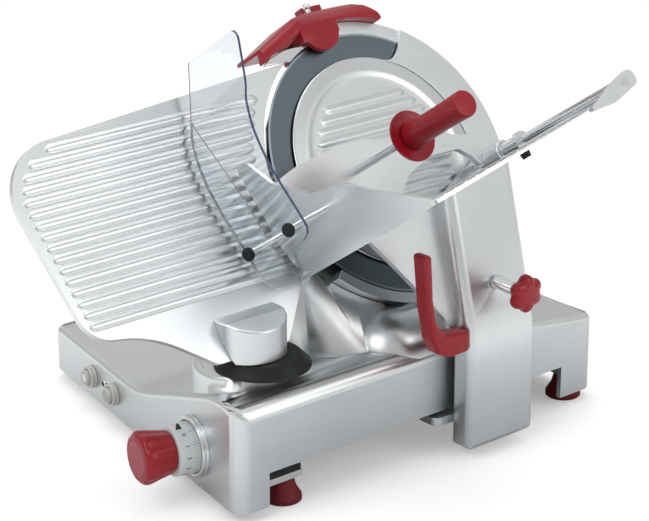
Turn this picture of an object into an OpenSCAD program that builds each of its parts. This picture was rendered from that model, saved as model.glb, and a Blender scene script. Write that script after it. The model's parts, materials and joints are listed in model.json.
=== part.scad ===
// Gravity feed slicer with an inclined round blade, a sliding product tray and a ribbed gauge plate.
// Sizes are in millimetres. The shapes are laid out from the corner of the base nearest the tray and the
// operator: +X is the operator's right, +Y leads away from the operator, +Z is up and zero is the table.

/* [Base] */
// Length of the base from the operator's face to the back, on the right side
base_len = 518; // [500:1:540]
// Depth of the base from right to left
base_depth = 447; // [435:1:470]
// Height of the tall right part of the base
base_top = 128; // [124:1:134]
// Height of the low left part of the base, where slices land
base_low = 64; // [60:1:70]
// Turn of the operator's face in plan, in degrees
face_turn = 10.5; // [8:0.5:13]
// Wall thickness of the base casting
base_wall = 6; // [5:0.5:7]
// Height of the long right skirt above the table
skirt_z = 50; // [49:0.5:54]
// Height of the corner legs above the table
leg_z = 12; // [8:1:16]

/* [Blade] */
// Radius of the blade
blade_r = 150; // [148:0.5:151]
// Lean of the blade and of the gauge plate from upright, in degrees
lean = 34.5; // [33:0.5:36]
// Radial gap between the blade and the gauge plate
blade_gap = 5.5; // [2.5:0.5:6]
// Radius of the blade cover
cover_r = 121; // [118:1:124]
// Radial width of the ring guard round the blade
ring_w = 12; // [10:1:14]

/* [Gauge plate] */
// Reach of the gauge plate from the blade's centre towards the operator
plate_reach = 463; // [450:1:470]
// Height of the gauge plate's top edge above the blade's centre, along the plate
plate_rise = 135; // [130:1:140]
// Thickness of the gauge plate
plate_t = 7; // [6.8:0.1:9]
// Spacing of the ribs
rib_pitch = 12.35; // [12:0.05:12.6]
// Height of a rib above the plate
rib_h = 2; // [1.4:0.1:2.4]
// Travel of the gauge plate away from the blade
gauge_travel = 18; // [12:1:18]

/* [Tray] */
// Width of the tray floor from the fence to its far edge
floor_w = 258; // [250:1:260]
// Length of the tray floor away from the blade, beside the fence
floor_l = 246; // [235:1:255]
// Thickness of the tray's sheet
sheet_t = 4; // [3:0.5:5]
// Height of the fence at the blade
fence_h = 132; // [125:1:135]
// Turn of the tray in its own plane, in degrees
tray_tilt = 11; // [10:0.5:12]
// Gap between the tray and the plane of the blade
tray_gap = 7.5; // [7:0.5:10]

/* [Pusher] */
// Radius of the rod that the pusher slides on
guide_r = 6; // [5:0.5:7]
// Length of the handle
handle_l = 96; // [85:1:105]
// Radius of the handle
handle_r = 14.5; // [13:0.5:16]
// Radius of the hand shield disc
shield_r = 28; // [25:1:32]

/* [Column] */
// Width of the column along the carriage's travel
column_w = 98; // [95:1:100]
// Thickness of the column
column_t = 33; // [32.5:0.5:36]
// Height where the column starts to lean
bend_z = 135; // [132:1:140]

/* [Knobs and buttons] */
// Outer radius of the thickness knob
knob_r = 29; // [27:0.5:31]
// Radius of the dial behind the knob
dial_r = 28; // [26:0.5:30]
// Radius of a push button
button_r = 8.5; // [7.5:0.5:9.5]
// Radius of the star knob on the column
star_r = 21; // [18:0.5:24]
// Radius of a foot where it meets the table
foot_r = 20; // [18:0.5:21]

/* [Hidden] */
$fn = 64;

// Shared clearances
overrun = 1;
running = 0.05;
gap = 0.4;
seat_gap = 0.1;
fine = 24;
smooth = 10;

// Places of the main assemblies, from the corner of the base
blade_x = -142.5;
blade_y = 324.4;
blade_z = 289;
tray_x = -173.3;
tray_y = -97.9;

// Base casting
ramp_low_x = -229;
ramp_high_x = -50;
ramp_round = 150;
edge_round = 16;
small_round = 10;
plan_round = 16;
back_top = 101;
back_bend_y = 320;
back_round = 150;
leg_front = 42;
leg_back = 465;
post_w = 36;
cut_depth = base_wall * 3;

// Gauge boss on the base
boss_x = -84;
boss_y = 74;
boss_r = 52;
boss_top = 141;
boss_slab = 13;
pocket_w = 92;
seat_depth = 4;
pocket_d = 40;
block_x = -86;
stem_x = -76;
stem_w = 24;
stem_d = 20;
slot_margin = 2;
pod_y = 71.8;
pod_half = 39;
pod_front = -30.5;
pod_round = 37;
pod_top = 197;
pod_slope = 14;
seal_x = -58;
seal_y = 81;
seal_r = 51;
seal_rim = 2;
seal_slope = 11;
seal_t = 12.5;
gauge_rod_r = 7;
gauge_rod_z = 112;
gauge_block_w = 44;
gauge_block_d = 32;
gauge_block_h = 28;

// Head that carries the blade
head_r = 95;
head_front = -26;
head_back = -62;
bulge_x = -50;
bulge_z = 111;
bulge_r = 49;
bulge_y0 = 250;
bulge_y1 = 410;
neck_x0 = -250;
neck_x1 = -90;
neck_z = 70;
lug_in_r = 150;
lug_out_r = 191;
lug_from = 214;
lug_to = 236;
lug_side = -86;
lug_low = -157;
shoe_x = [-110, -76, -47, -36];
shoe_y = [162, 158, 176, 205];
shoe_back = 262;
hub_bore_r = 30;
spindle_r = 12;
bearing_t = 14;
ring_in = 2;
ring_front = 1;
ring_back = -14;
lip_front = 4;
lip_back = 0.8;
blade_t = 4;
cover_front = 5.4;
cover_face = 4.2;
cover_back = 1;
cover_rib_r = 92;
cover_rib_pitch = 11.6;
rib_r = 4.4;

// Sharpener
sharp_x = -27;
sharp_y = 159;
sharp_r = 25;
sharp_front = 12;
sharp_back = -38;
sharp_reach = 112;
sharp_top = 184;
stone_r = 13;
stone_t = 7;
wing_clear_x = -62;
wing_clear_y = 148;
wing_x = -54;
wing_y = 178;
wing_turn = 24;
wing_h = 20.5;
wing_round = 8.5;
crown_round = 20;
stem_r = 4;
pin_x = -12;
lever_x = 1;
pin_r = 3;
pin_l = 13;
ball_r = 4.2;
lever_w = 28;
lever_h = 11;
lever_t = 14;

// Feet
foot_x = 25;
foot_setback = 75;
foot_back = 23;
foot_h = 29;
foot_neck_r = 11.5;
plate_h = 7;
spacer_h = 9;
foot_plate_in = 13;
foot_plate_out = 36;
foot_plate_w = 44;

// Controls on the operator's face
knob_x = -91;
knob_z = 56.5;
index_r = 33;
index_h = 8;
dial_h = 22;
knob_h = 38;
knob_neck_r = 23;
shaft_r = 6;
shaft_in = 50;
bush_r = 12;
cam_r = 12;
cam_t = 8;
cam_depth = 46;
cam_turn = 300;
follower_r = 4;
follower_l = 20;
button_z = 38;
start_x = -343;
stop_x = -287;
bezel_r = 13;
bezel_h = 7;
button_h = 11;
pilot_x = -312;
pilot_z = 41;
pilot_r = 4.5;
gland_x = -390;
gland_z = 36;
gland_r = 9;
gland_h = 16;

// Carriage
rod_x = -150;
rod_z = 58;
rod_r = 10;
rail_x = -42;
rail_z = 62;
rail_r = 7;
roller_r = 12;
roller_w = 14;
arm_y0 = 266;
arm_y1 = 354;
arm_z0 = 37;
arm_z1 = 46;
arm_round = 9;
block_half = 24;
block_top = 74;
bush_out_r = 14;
bush_l = 22;
column_gap = 8;
column_y = 285;
column_foot_z = 12;
column_lean = 14.6;
column_round = 11;
bend_r = 200;
web_t = 8;
web_x = 9;
grip_t = 20;
grip_x = 18;
grip_y = 285;
grip_z = 131;
grip_reach = 67;
grip_rise = 121;
star_y = 331;
star_z = 195;
stud_r = 5;
stud_l = 40;

// Tray and guard
rod_out = 30;
rod_f = floor_w + rod_out;
rod_g = 6;
lug_t = 6;
lug_r = 15;
rod_past = 16;
rod_end_n = floor_l + rod_past;
floor_rib_pitch = 16;
floor_rib_h = 1.2;
floor_rib_r = 2.4;
guard_t = 3;
guard_n = 112;
guard_off = 47;
guard_low = 25;
guard_round = 17;
guard_top = 253;
stud_g = 48;
stud_n_a = 12;
stud_n_b = 91;
guard_stud_r = 4;
cap_r = 7.5;
cap_l = 10;

// Pusher
pusher_n = 24.5;
pusher_t = 8;
pusher_top = 103;
pusher_past = 12;
pusher_reach = rod_f + pusher_past;
sleeve_r = 9.2;
sleeve_n = 22;
sleeve_l = 70;
pusher_hub_r = 12.8;
pusher_hub_l = 36;
pusher_end_turn = 18;
handle_f = 112;
handle_g = 68;
handle_rod_r = 4.5;
handle_rod_l = 107;
shield_t = 5;
spike_r = 2.5;
spike_h = 6;

// Outlines as shares of the sizes that they follow
plate_shares = [[-0.145, 0.993], [-1.022, 0.785], [-0.94, -0.74], [-0.8, -0.79], [-0.655, -1.17],
    [-0.458, -1.17], [-0.367, -0.77], [-0.302, -0.46], [-0.145, -0.46]];
plate_round_shares = [0, 0.135, 0.08, 0.3, 0.03, 0.03, 0.1, 0, 0];
fence_shares = [[0, 0], [0, 1], [0.08, 1], [0.163, 0.75], [0.341, 0.52], [0.57, 0.455], [0.7, 0.3],
    [1, 0.005], [1, 0]];
fence_round_shares = [0.1, 0.03, 0.04, 0.1, 0.1, 0.12, 0.1, 0, 0];
floor_shares = [[0, 0], [0, 1], [0.95, 1.075], [1, 1], [1, 0.01], [0.9, 0]];
floor_round_shares = [0, 0.02, 0.04, 0.04, 0.06, 0.06];
guard_shares = [[-1, 0.1], [-1.01, 0.28], [-1.04, 0.43], [-0.92, 0.59], [-0.5, 0.775], [0.19, 1]];
panel_shares = [[-0.47, 0.775], [-0.32, 0.51], [-0.26, 0.34], [-0.26, 0.18], [-0.06, -0.01],
    [-0.17, -0.028], [-0.47, -0.012], [-0.77, 0.012], [-0.94, 0.055], [-1, 0.1], [-1.01, 0.28],
    [-1.04, 0.43], [-0.92, 0.59]];
pusher_shares = [[0.027, 0.04], [0.027, 0.86], [0.07, 0.97], [0.155, 1], [0.34, 0.98], [0.45, 0.93],
    [0.81, 0.56], [0.936, 0.39], [1, 0.14], [0.96, -0.04], [0.905, 0.06], [0.885, 0.2],
    [0.848, 0.33], [0.716, 0.41], [0.575, 0.35], [0.507, 0.21], [0.48, 0.04]];
grip_shares = [[-1, 1], [-0.84, 1], [-0.79, 0.58], [-0.7, 0.35], [-0.51, 0.22], [0, 0.19], [0, 0],
    [-0.4, -0.01], [-0.67, 0.06], [-0.79, 0.2], [-0.9, 0.49]];
hood_shares = [[-0.714, 0.797], [-0.911, 0.768], [-1.03, 0.727], [-1, 0.826], [-0.482, 0.967],
    [-0.2, 1], [0.08, 1], [0.3, 0.985], [0.41, 0.955], [0.54, 0.88], [0.55, 0.845]];
hood_round_shares = [0, 0.1, 0.01, 0.03, 0.1, 0, 0, 0.1, 0.1, 0.1, 0.02];
jaw_shares = [[-1.01, 0.724], [-0.911, 0.76], [-0.714, 0.792]];
lug_shares = [[1.05, 0.75], [1.2, -0.5], [-1.7, -0.93]];
jaw_from = 105.7;
jaw_to = 119.5;
hood_turn = 69.5;
ring_end = 90.5;
ring_open_from = 90;
ring_open_to = 222;
lip_open_from = 58;
lip_open_to = 262;
deflector_from = 115;
deflector_to = 215;
web_shares = [[0, 0], [-0.11, 0.14], [-0.5, 0.42], [-0.93, 0.71], [-1, 0.78], [-1, 1], [0.1, 1],
    [0.1, 0]];
web_reach = 107;
web_rise = 190;
rib_span_share = 0.93;
column_low_share = 0.94;

// Extreme reaches, which place the whole part over the middle of its own footprint
floor_outline = rounded(scaled(floor_shares, floor_w, floor_l), floor_round_shares * floor_w);
plate_outline = rounded(scaled(plate_shares, plate_reach, plate_rise), plate_round_shares * plate_reach,
    smooth);
right_reach = max([for (p = floor_outline) blade_x + (tray_gap + p[1]) * cos(lean)
    - (tray_y + p[0] * sin(tray_tilt) - sheet_t * cos(tray_tilt)) * sin(lean)]);
left_reach = -base_depth;
front_reach = blade_y + min([for (p = plate_outline) p[0]]);
back_reach = base_len + gland_h;
mid_x = (right_reach + left_reach) / 2;
mid_y = (front_reach + back_reach) / 2;
bend_reach = bend_r * tan(column_lean / 2);

// Depth of the operator's face at a place across the base
function front_y(x) = -x * tan(face_turn);

// A direction of length one
function unit(v) = v / norm(v);

// Points of an arc that rounds the corner b between a and c
function corner_arc(a, b, c, r, steps) =
    let (u = unit(a - b), v = unit(c - b), half = acos(u * v) / 2)
    let (o = b + unit(u + v) * (r / sin(half)), p = b + u * (r / tan(half)) - o)
    let (q = b + v * (r / tan(half)) - o)
    [for (k = [0 : steps]) o + r * unit(p * (steps - k) / steps + q * k / steps)];

// Outline with each corner rounded by its own radius
function rounded(pts, radii, steps = 5) =
    let (n = len(pts))
    [for (i = [0 : n - 1]) each radii[i] > 0
        ? corner_arc(pts[(i + n - 1) % n], pts[i], pts[(i + 1) % n], radii[i], steps)
        : [pts[i]]];

// Points along an arc about the origin
function arc(r, from, to, steps) = [for (k = [0 : steps]) let (a = from + (to - from) * k / steps)
    r * [cos(a), sin(a)]];

// Outline shares turned into lengths
function scaled(shares, w, h) = [for (s = shares) [s[0] * w, s[1] * h]];

// Smooth outline through rounded corners
module outline(shares, radii, w, h) {
    polygon(rounded(scaled(shares, w, h), radii * w));
}

// Shift from the corner of the base to the middle of the whole footprint
module at_datum() {
    translate([-mid_x, -mid_y, 0]) children();
}

// Blade frame: X along the travel, Y up the plate, Z out of the plate towards the tray
module at_blade() {
    translate([blade_x, blade_y, blade_z]) rotate([0, 90 - lean, 0]) rotate([0, 0, 90]) children();
}

// Tray frame: X across the floor, Y up the fence, Z away from the blade
module at_tray() {
    at_blade() translate([tray_x, tray_y, tray_gap]) rotate([0, 0, tray_tilt]) children();
}

// Fence outline frame: X away from the blade, Y up the fence, extruded towards the operator
module in_fence() {
    rotate([0, -90, 0]) children();
}

// Floor outline frame: X across the floor, Y away from the blade, extruded downwards
module in_floor() {
    rotate([90, 0, 0]) children();
}

// Operator's face frame: X to the right, Y up, Z out towards the operator
module on_face(x, z) {
    translate([x, front_y(x), z]) rotate([0, 0, -face_turn]) rotate([90, 0, 0]) children();
}

// Column frame: X along the travel, Y up the leaning column, Z out
module at_column_bend(x) {
    translate([x, column_y, bend_z]) rotate([0, 90 - column_lean, 0]) rotate([0, 0, 90]) children();
}

// A rod along the travel between two places
module rod_along_y(x, z, y0, y1, r) {
    translate([x, y1, z]) rotate([90, 0, 0]) cylinder(h = y1 - y0, r = r);
}

// A rod across the base between two places
module rod_along_x(y, z, x0, x1, r) {
    translate([x0, y, z]) rotate([0, 90, 0]) cylinder(h = x1 - x0, r = r);
}

// The base as a block: plan, cross ramp and long profile meet, all drawn in by the inset
module base_block(inset, low) {
    plan = [[-inset, front_y(-inset) + inset / cos(face_turn)],
        [-inset, base_len - inset],
        [-base_depth + inset, base_len - inset],
        [-base_depth + inset, front_y(-base_depth + inset) + inset / cos(face_turn)]];
    ramp = [[-base_depth + inset, low], [-base_depth + inset, base_low - inset],
        [ramp_low_x, base_low - inset], [ramp_high_x, base_top - inset], [-inset, base_top - inset],
        [-inset, low]];
    ridge = [[inset, low], [inset, base_top - inset], [back_bend_y, base_top - inset],
        [base_len - inset, back_top - inset], [base_len - inset, low]];
    intersection() {
        linear_extrude(base_top + overrun)
            polygon(rounded(plan, [plan_round, plan_round, plan_round, plan_round] - [1, 1, 1, 1] * inset));
        translate([0, base_len + overrun, 0]) rotate([90, 0, 0])
            linear_extrude(base_len + 2 * overrun)
            polygon(rounded(ramp, [0, small_round, ramp_round, ramp_round, edge_round - inset, 0]));
        translate([-base_depth - overrun, 0, 0]) rotate([90, 0, 90])
            linear_extrude(base_depth + 2 * overrun)
            polygon(rounded(ridge, [0, small_round, back_round, small_round, 0]));
    }
}

// Middle of a foot, from its side and its end of the base
function foot_at(right, front) =
    let (x = right ? -foot_x : -base_depth + foot_x)
    [x, front ? front_y(x) + foot_setback : base_len - foot_back];

foot_places = [for (right = [true, false], front = [true, false]) foot_at(right, front)];

module base_casting() {
    spacer_top = foot_h + plate_h + spacer_h;
    color([0.78, 0.79, 0.8]) difference() {
        union() {
            difference() {
                union() {
                    base_block(0, leg_z);
                    translate([boss_x, boss_y, base_low]) cylinder(h = boss_top - base_low, r = boss_r);
                }
                base_block(base_wall, leg_z - overrun);
            }
            for (p = foot_places) foot_post(p, spacer_top);
            gauge_rod_seat();
        }
        gauge_pocket();
        skirt_cut();
        face_holes();
        intersection() {
            base_block(base_wall, leg_z);
            union() {
                bracket_blocks(seat_gap);
                rod_along_y(rail_x, rail_z, leg_front, base_len - base_wall, rail_r + gap);
            }
        }
        translate([gland_x, base_len - cut_depth, gland_z]) rotate([-90, 0, 0])
            cylinder(h = cut_depth + overrun, r = gland_r / 2 + seat_gap);
    }
}

// Housing that stands on the base's ramp, with the drive's bulge, the neck and the seat of the ring guard
module blade_head() {
    color([0.77, 0.78, 0.79]) difference() {
        union() {
            difference() {
                translate([bulge_x, bulge_y1, bulge_z]) rotate([90, 0, 0]) rotate_extrude()
                    polygon(concat([[0, 0], [bulge_r, 0]],
                        [for (p = arc(bulge_r, 0, 90, smooth)) [0, bulge_y1 - bulge_y0] + p]));
                at_blade() translate([0, 0, ring_back - 2 * gap])
                    cylinder(h = sharp_r - ring_back, r = blade_r + ring_in + ring_w + gap);
            }
            hull() {
                at_blade() translate([0, 0, head_back])
                    cylinder(h = head_front - head_back, r = head_r, $fn = fine);
                translate([neck_x0, bulge_y0, neck_z])
                    cube([neck_x1 - neck_x0, bulge_y1 - bulge_y0, base_low - base_wall]);
            }
            difference() {
                ring_seat();
                at_blade() translate([0, 0, ring_back - gap / 2])
                    cylinder(h = sharp_r - ring_back, r = blade_r + ring_in + ring_w + 2 * gap);
            }
        }
        base_block(-seat_gap, 0);
        at_blade() translate([0, 0, head_back - overrun])
            cylinder(h = -head_back + 2 * overrun, r = hub_bore_r);
    }
}

// Neck under the ring guard, from a lug round the blade's lower left down to the top of the base
module ring_seat() {
    shoe = concat([for (i = [0 : len(shoe_x) - 1]) [shoe_x[i], shoe_y[i]]],
        [[shoe_x[len(shoe_x) - 1], shoe_back], [shoe_x[0], shoe_back]]);
    hull() {
        at_blade() translate([0, 0, head_back]) linear_extrude(ring_back - gap - head_back)
            polygon(concat(arc(lug_out_r, lug_from, lug_to, 4), [[lug_side, lug_low],
                [lug_side, -lug_in_r / 2], lug_in_r * [cos(lug_from), sin(lug_from)]]));
        translate([0, 0, base_top / 2]) linear_extrude(base_top / 2) polygon(shoe);
    }
}

// A square post inside the base that a foot bolts to
module foot_post(p, from) {
    intersection() {
        base_block(base_wall / 2, leg_z);
        translate([p[0] - post_w / 2, p[1] - post_w / 2, from]) cube([post_w, post_w, base_top]);
    }
}

// Blocks at the ends of the carriage rod and the roller rail, grown all round by a clearance
module bracket_blocks(extra) {
    for (y = [leg_front, base_len - base_wall - post_w / 2], rail = [false, true]) {
        half = rail ? rail_r + base_wall / 2 : block_half;
        low = rail ? rail_z - rail_r - base_wall : rod_z - rod_r - base_wall;
        translate([(rail ? rail_x : rod_x) - half - extra, y - extra, low - extra])
            cube([2 * (half + extra), post_w / 3 + 2 * extra, base_top]);
    }
}

// Brackets inside the base that hold the ends of the carriage rod and the roller rail
module rod_brackets() {
    color([0.7, 0.71, 0.72]) difference() {
        intersection() {
            base_block(base_wall + seat_gap, leg_z);
            bracket_blocks(0);
        }
        rod_along_y(rod_x, rod_z, 0, base_len, rod_r + seat_gap / 2);
        rod_along_y(rail_x, rail_z, 0, base_len, rail_r + seat_gap / 2);
    }
}

// Inner wall that holds the right end of the gauge rod
module gauge_rod_seat() {
    intersection() {
        base_block(base_wall / 2, leg_z);
        translate([boss_x + pocket_w / 2, boss_y - pocket_d / 2, gauge_rod_z - 2 * gauge_rod_r])
            cube([2 * base_wall, pocket_d, base_top]);
    }
}

// Room under the gauge boss for the slider, its slot and its rod
module gauge_pocket() {
    translate([boss_x - pocket_w / 2, boss_y - pocket_d / 2, base_low - base_wall])
        cube([pocket_w, pocket_d, boss_top - boss_slab - base_low + base_wall]);
    translate([stem_x - stem_w / 2 - gauge_travel - slot_margin, boss_y - stem_d / 2 - slot_margin, base_low])
        cube([stem_w + gauge_travel + 2 * slot_margin, stem_d + 2 * slot_margin, boss_top]);
    rod_along_x(boss_y, gauge_rod_z, boss_x - pocket_w / 2 - seat_depth, boss_x + pocket_w / 2 + seat_depth,
        gauge_rod_r + seat_gap / 2);
}

// The right wall stops at the skirt between its two corner legs
module skirt_cut() {
    translate([-cut_depth, leg_front, leg_z - overrun])
        cube([cut_depth + overrun, leg_back - leg_front, skirt_z - leg_z + overrun]);
}

// Holes through the operator's face
module face_holes() {
    on_face(knob_x, knob_z) translate([0, 0, -cut_depth]) cylinder(h = cut_depth + overrun, r = bush_r);
    for (x = [start_x, stop_x])
        on_face(x, button_z) translate([0, 0, -cut_depth])
            cylinder(h = cut_depth + overrun, r = button_r + 2 * gap);
    on_face(pilot_x, pilot_z) translate([0, 0, -cut_depth])
        cylinder(h = cut_depth + overrun, r = pilot_r / 2);
}

module bottom_plate() {
    x0 = -base_depth + base_wall + gap;
    x1 = rod_x - block_half - 2 * foot_x;
    color([0.6, 0.62, 0.64]) difference() {
        translate([0, 0, leg_z + overrun]) linear_extrude(base_wall / 3)
            polygon(rounded([[x0, front_y(x0) + base_wall + overrun], [x1, front_y(x1) + base_wall + overrun],
                [x1, base_len - base_wall - gap], [x0, base_len - base_wall - gap]],
                [plan_round, small_round, small_round, plan_round]));
        for (p = foot_places)
            translate([p[0], p[1], 0]) cylinder(h = skirt_z, r = foot_r + foot_plate_w / 2);
    }
}

// Ends of a foot plate beside its foot, the longer one under the front corners
function plate_span(p) = p[1] < base_len / 2
    ? [p[1] - foot_plate_out, p[1] + foot_plate_in]
    : [p[1] - foot_plate_in, p[1] + foot_plate_in - base_wall / 2];

module corner_slab(p, z, h, shrink) {
    span = plate_span(p);
    width = foot_plate_w - 2 * shrink - 2 * base_wall;
    translate([p[0] - width / 2, span[0] + shrink, z]) cube([width, span[1] - span[0] - 2 * shrink, h]);
}

module foot_plates() {
    color([0.8, 0.82, 0.82]) for (p = foot_places) corner_slab(p, foot_h, plate_h, 0);
}

module foot_spacers() {
    color([0.12, 0.13, 0.13]) for (p = foot_places) corner_slab(p, foot_h + plate_h, spacer_h, overrun);
}

// A flared rubber foot
module foot(p) {
    color([0.5, 0.1, 0.11]) translate([p[0], p[1], 0]) rotate_extrude()
        polygon([[0, 0], [foot_r - overrun, 0], [foot_r, overrun], [foot_r, foot_h * 0.2],
            [foot_r * 0.86, foot_h * 0.35], [foot_r * 0.7, foot_h * 0.55], [foot_neck_r, foot_h * 0.85],
            [foot_neck_r, foot_h], [0, foot_h]]);
}

module foot_front_right() {
    foot(foot_at(true, true));
}

module foot_front_left() {
    foot(foot_at(false, true));
}

module foot_rear_right() {
    foot(foot_at(true, false));
}

module foot_rear_left() {
    foot(foot_at(false, false));
}

module cable_gland() {
    color([0.1, 0.1, 0.11]) translate([gland_x, base_len, gland_z]) rotate([-90, 0, 0]) {
        translate([0, 0, -base_wall]) cylinder(h = base_wall, r = gland_r / 2);
        difference() {
            cylinder(h = gland_h, r1 = gland_r, r2 = gland_r * 0.8);
            translate([0, 0, gland_h / 2]) cylinder(h = gland_h, r = gland_r / 2);
        }
    }
}

// Ring round a push button
module bezel(x) {
    color([0.68, 0.69, 0.7]) on_face(x, button_z) difference() {
        cylinder(h = bezel_h, r1 = bezel_r, r2 = bezel_r * 0.92);
        translate([0, 0, -overrun]) cylinder(h = bezel_h + 2 * overrun, r = button_r + gap);
    }
}

module start_bezel() {
    bezel(start_x);
}

module stop_bezel() {
    bezel(stop_x);
}

// Cap of a push button, with its stem inside the base
module button(x, tone) {
    color(tone) on_face(x, button_z) {
        translate([0, 0, -base_wall]) cylinder(h = base_wall + button_h, r = button_r);
        translate([0, 0, button_h]) cylinder(h = overrun, r1 = button_r, r2 = button_r - overrun);
    }
}

module start_button() {
    button(start_x, [0.88, 0.88, 0.86]);
}

module stop_button() {
    button(stop_x, [0.6, 0.62, 0.62]);
}

module pilot_light() {
    color([0.75, 0.76, 0.77]) on_face(pilot_x, pilot_z) {
        translate([0, 0, -base_wall]) cylinder(h = base_wall, r = pilot_r / 2 - seat_gap);
        cylinder(h = pilot_r / 2, r1 = pilot_r, r2 = pilot_r * 0.8);
    }
}

module index_ring() {
    color([0.72, 0.74, 0.75]) on_face(knob_x, knob_z) difference() {
        cylinder(h = index_h, r = index_r);
        translate([0, 0, index_h / 2]) cylinder(h = index_h, r = dial_r + gap);
        translate([0, 0, -overrun]) cylinder(h = index_h, r = bush_r + gap);
    }
}

module knob_bush() {
    color([0.75, 0.6, 0.3]) on_face(knob_x, knob_z) difference() {
        translate([0, 0, -2 * base_wall])
            cylinder(h = 2 * base_wall + index_h / 2 - gap, r = bush_r - seat_gap);
        translate([0, 0, -cut_depth]) cylinder(h = 2 * cut_depth, r = shaft_r + running);
    }
}

module knob_shaft() {
    color([0.7, 0.71, 0.72]) on_face(knob_x, knob_z) {
        translate([0, 0, -shaft_in]) cylinder(h = shaft_in + index_h + dial_h, r = shaft_r);
        translate([0, 0, -cam_depth]) linear_extrude(cam_t) polygon(snail());
    }
}

// Snail outline whose radius grows as the knob turns, read on the side facing the low end of the base
function snail() = [for (a = [0 : 10 : 350])
    let (turned = (180 - a + 360) % 360, rise = turned > cam_turn ? 0 : turned / cam_turn)
    (cam_r + gauge_travel * cos(face_turn) * rise) * [cos(a), sin(a)]];

module thickness_dial() {
    color([0.9, 0.9, 0.88]) on_face(knob_x, knob_z) translate([0, 0, index_h / 2 + gap]) difference() {
        cylinder(h = index_h / 2 + dial_h, r1 = dial_r, r2 = dial_r * 0.95);
        translate([0, 0, -overrun]) cylinder(h = index_h + dial_h + overrun, r = shaft_r + seat_gap);
    }
}

module thickness_knob() {
    color([0.62, 0.13, 0.15]) on_face(knob_x, knob_z) translate([0, 0, index_h + dial_h + gap])
        difference() {
            rotate_extrude() polygon([[0, 0], [knob_neck_r, 0], [knob_neck_r, knob_h * 0.1],
                [knob_r * 0.9, knob_h * 0.45], [knob_r, knob_h * 0.7], [knob_r, knob_h * 0.85],
                [knob_r * 0.92, knob_h * 0.96], [knob_r * 0.8, knob_h], [0, knob_h]]);
            for (a = [0 : 45 : 315])
                rotate([0, 0, a]) translate([knob_r + knob_r * 0.3, 0, -overrun])
                    cylinder(h = knob_h + 2 * overrun, r = knob_r * 0.38);
        }
}

module gauge_guide_rod() {
    color([0.75, 0.76, 0.78])
        rod_along_x(boss_y, gauge_rod_z, boss_x - pocket_w / 2 - seat_depth,
            boss_x + pocket_w / 2 + seat_depth, gauge_rod_r);
}

module carriage_rod() {
    color([0.75, 0.76, 0.78]) rod_along_y(rod_x, rod_z, leg_front, base_len - 2 * base_wall, rod_r);
}

module roller_rail() {
    color([0.75, 0.76, 0.78]) rod_along_y(rail_x, rail_z, leg_front, base_len - 2 * base_wall, rail_r);
}

// A bearing ring in the head
module bearing(n) {
    color([0.55, 0.56, 0.58]) at_blade() translate([0, 0, n]) difference() {
        cylinder(h = bearing_t, r = hub_bore_r - seat_gap);
        translate([0, 0, -overrun]) cylinder(h = bearing_t + 2 * overrun, r = spindle_r + running);
    }
}

module bearing_front() {
    bearing(head_front - bearing_t);
}

module bearing_rear() {
    bearing(head_back);
}

// Wedge that takes the cutting side out of the ring guard, between two angles
module sector(a0, a1, r, h) {
    linear_extrude(h) polygon(concat([[0, 0]], arc(r, a0, a1, 6)));
}

module ring_guard() {
    inner = blade_r + ring_in;
    outer = inner + ring_w;
    color([0.76, 0.77, 0.79]) at_blade() {
        difference() {
            translate([0, 0, ring_back]) cylinder(h = ring_front - ring_back, r = outer);
            translate([0, 0, ring_back - overrun]) cylinder(h = blade_r, r = inner);
            translate([0, 0, ring_back - overrun]) sector(ring_open_from, ring_open_to, outer * 2, blade_r);
        }
        difference() {
            translate([0, 0, ring_front]) cylinder(h = lip_front - ring_front, r = outer);
            translate([0, 0, lip_back - overrun]) cylinder(h = blade_r, r = cover_r);
            translate([0, 0, lip_back - overrun]) sector(lip_open_from, lip_open_to, outer * 2, blade_r);
        }
    }
}

// Half-round bars across a disc
module cover_ribs() {
    count = floor(cover_rib_r / cover_rib_pitch);
    for (i = [-count + 1 : count - 1]) {
        y = i * cover_rib_pitch;
        half = sqrt(cover_rib_r * cover_rib_r - y * y);
        translate([-half, y, cover_face - rib_r + cover_front - cover_face]) rotate([0, 90, 0])
            cylinder(h = 2 * half, r = rib_r, $fn = fine);
    }
}

module blade_cover() {
    color([0.78, 0.79, 0.8]) at_blade() intersection() {
        union() {
            rotate_extrude() polygon([[0, cover_back], [cover_r, cover_back], [cover_r, lip_front - overrun],
                [cover_rib_r + cover_rib_pitch, cover_front], [cover_rib_r + cover_rib_pitch / 2, cover_face],
                [0, cover_face]]);
            cover_ribs();
        }
        translate([0, 0, cover_back]) cylinder(h = blade_r, r = cover_r);
    }
}

module blade() {
    color([0.36, 0.41, 0.45]) at_blade() rotate_extrude() polygon([[hub_bore_r / 2, -blade_t - ring_in],
        [hub_bore_r / 2, -ring_in - overrun], [blade_r * 0.78, -ring_in - overrun],
        [blade_r * 0.8, -overrun], [blade_r * 0.99, -running * 4], [blade_r, -running * 8],
        [blade_r, -running * 12], [blade_r * 0.92, -blade_t], [blade_r * 0.7, -blade_t - ring_in]]);
}

module blade_hub() {
    front = -blade_t - ring_in;
    color([0.5, 0.52, 0.54]) at_blade() {
        translate([0, 0, head_front + gap]) cylinder(h = front - head_front - gap, r = hub_bore_r);
        translate([0, 0, head_back - gap]) cylinder(h = head_front - head_back + 2 * gap, r = spindle_r);
        translate([0, 0, front]) cylinder(h = -front - ring_in, r = hub_bore_r / 2 - seat_gap);
    }
}

module slice_deflector() {
    reach = blade_r * rib_span_share;
    color([0.8, 0.81, 0.83]) at_blade() translate([0, 0, head_front]) difference() {
        sector(deflector_from, deflector_to, reach, ring_in);
        translate([0, 0, -overrun]) cylinder(h = blade_t + overrun, r = head_r * rib_span_share);
    }
}

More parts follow.
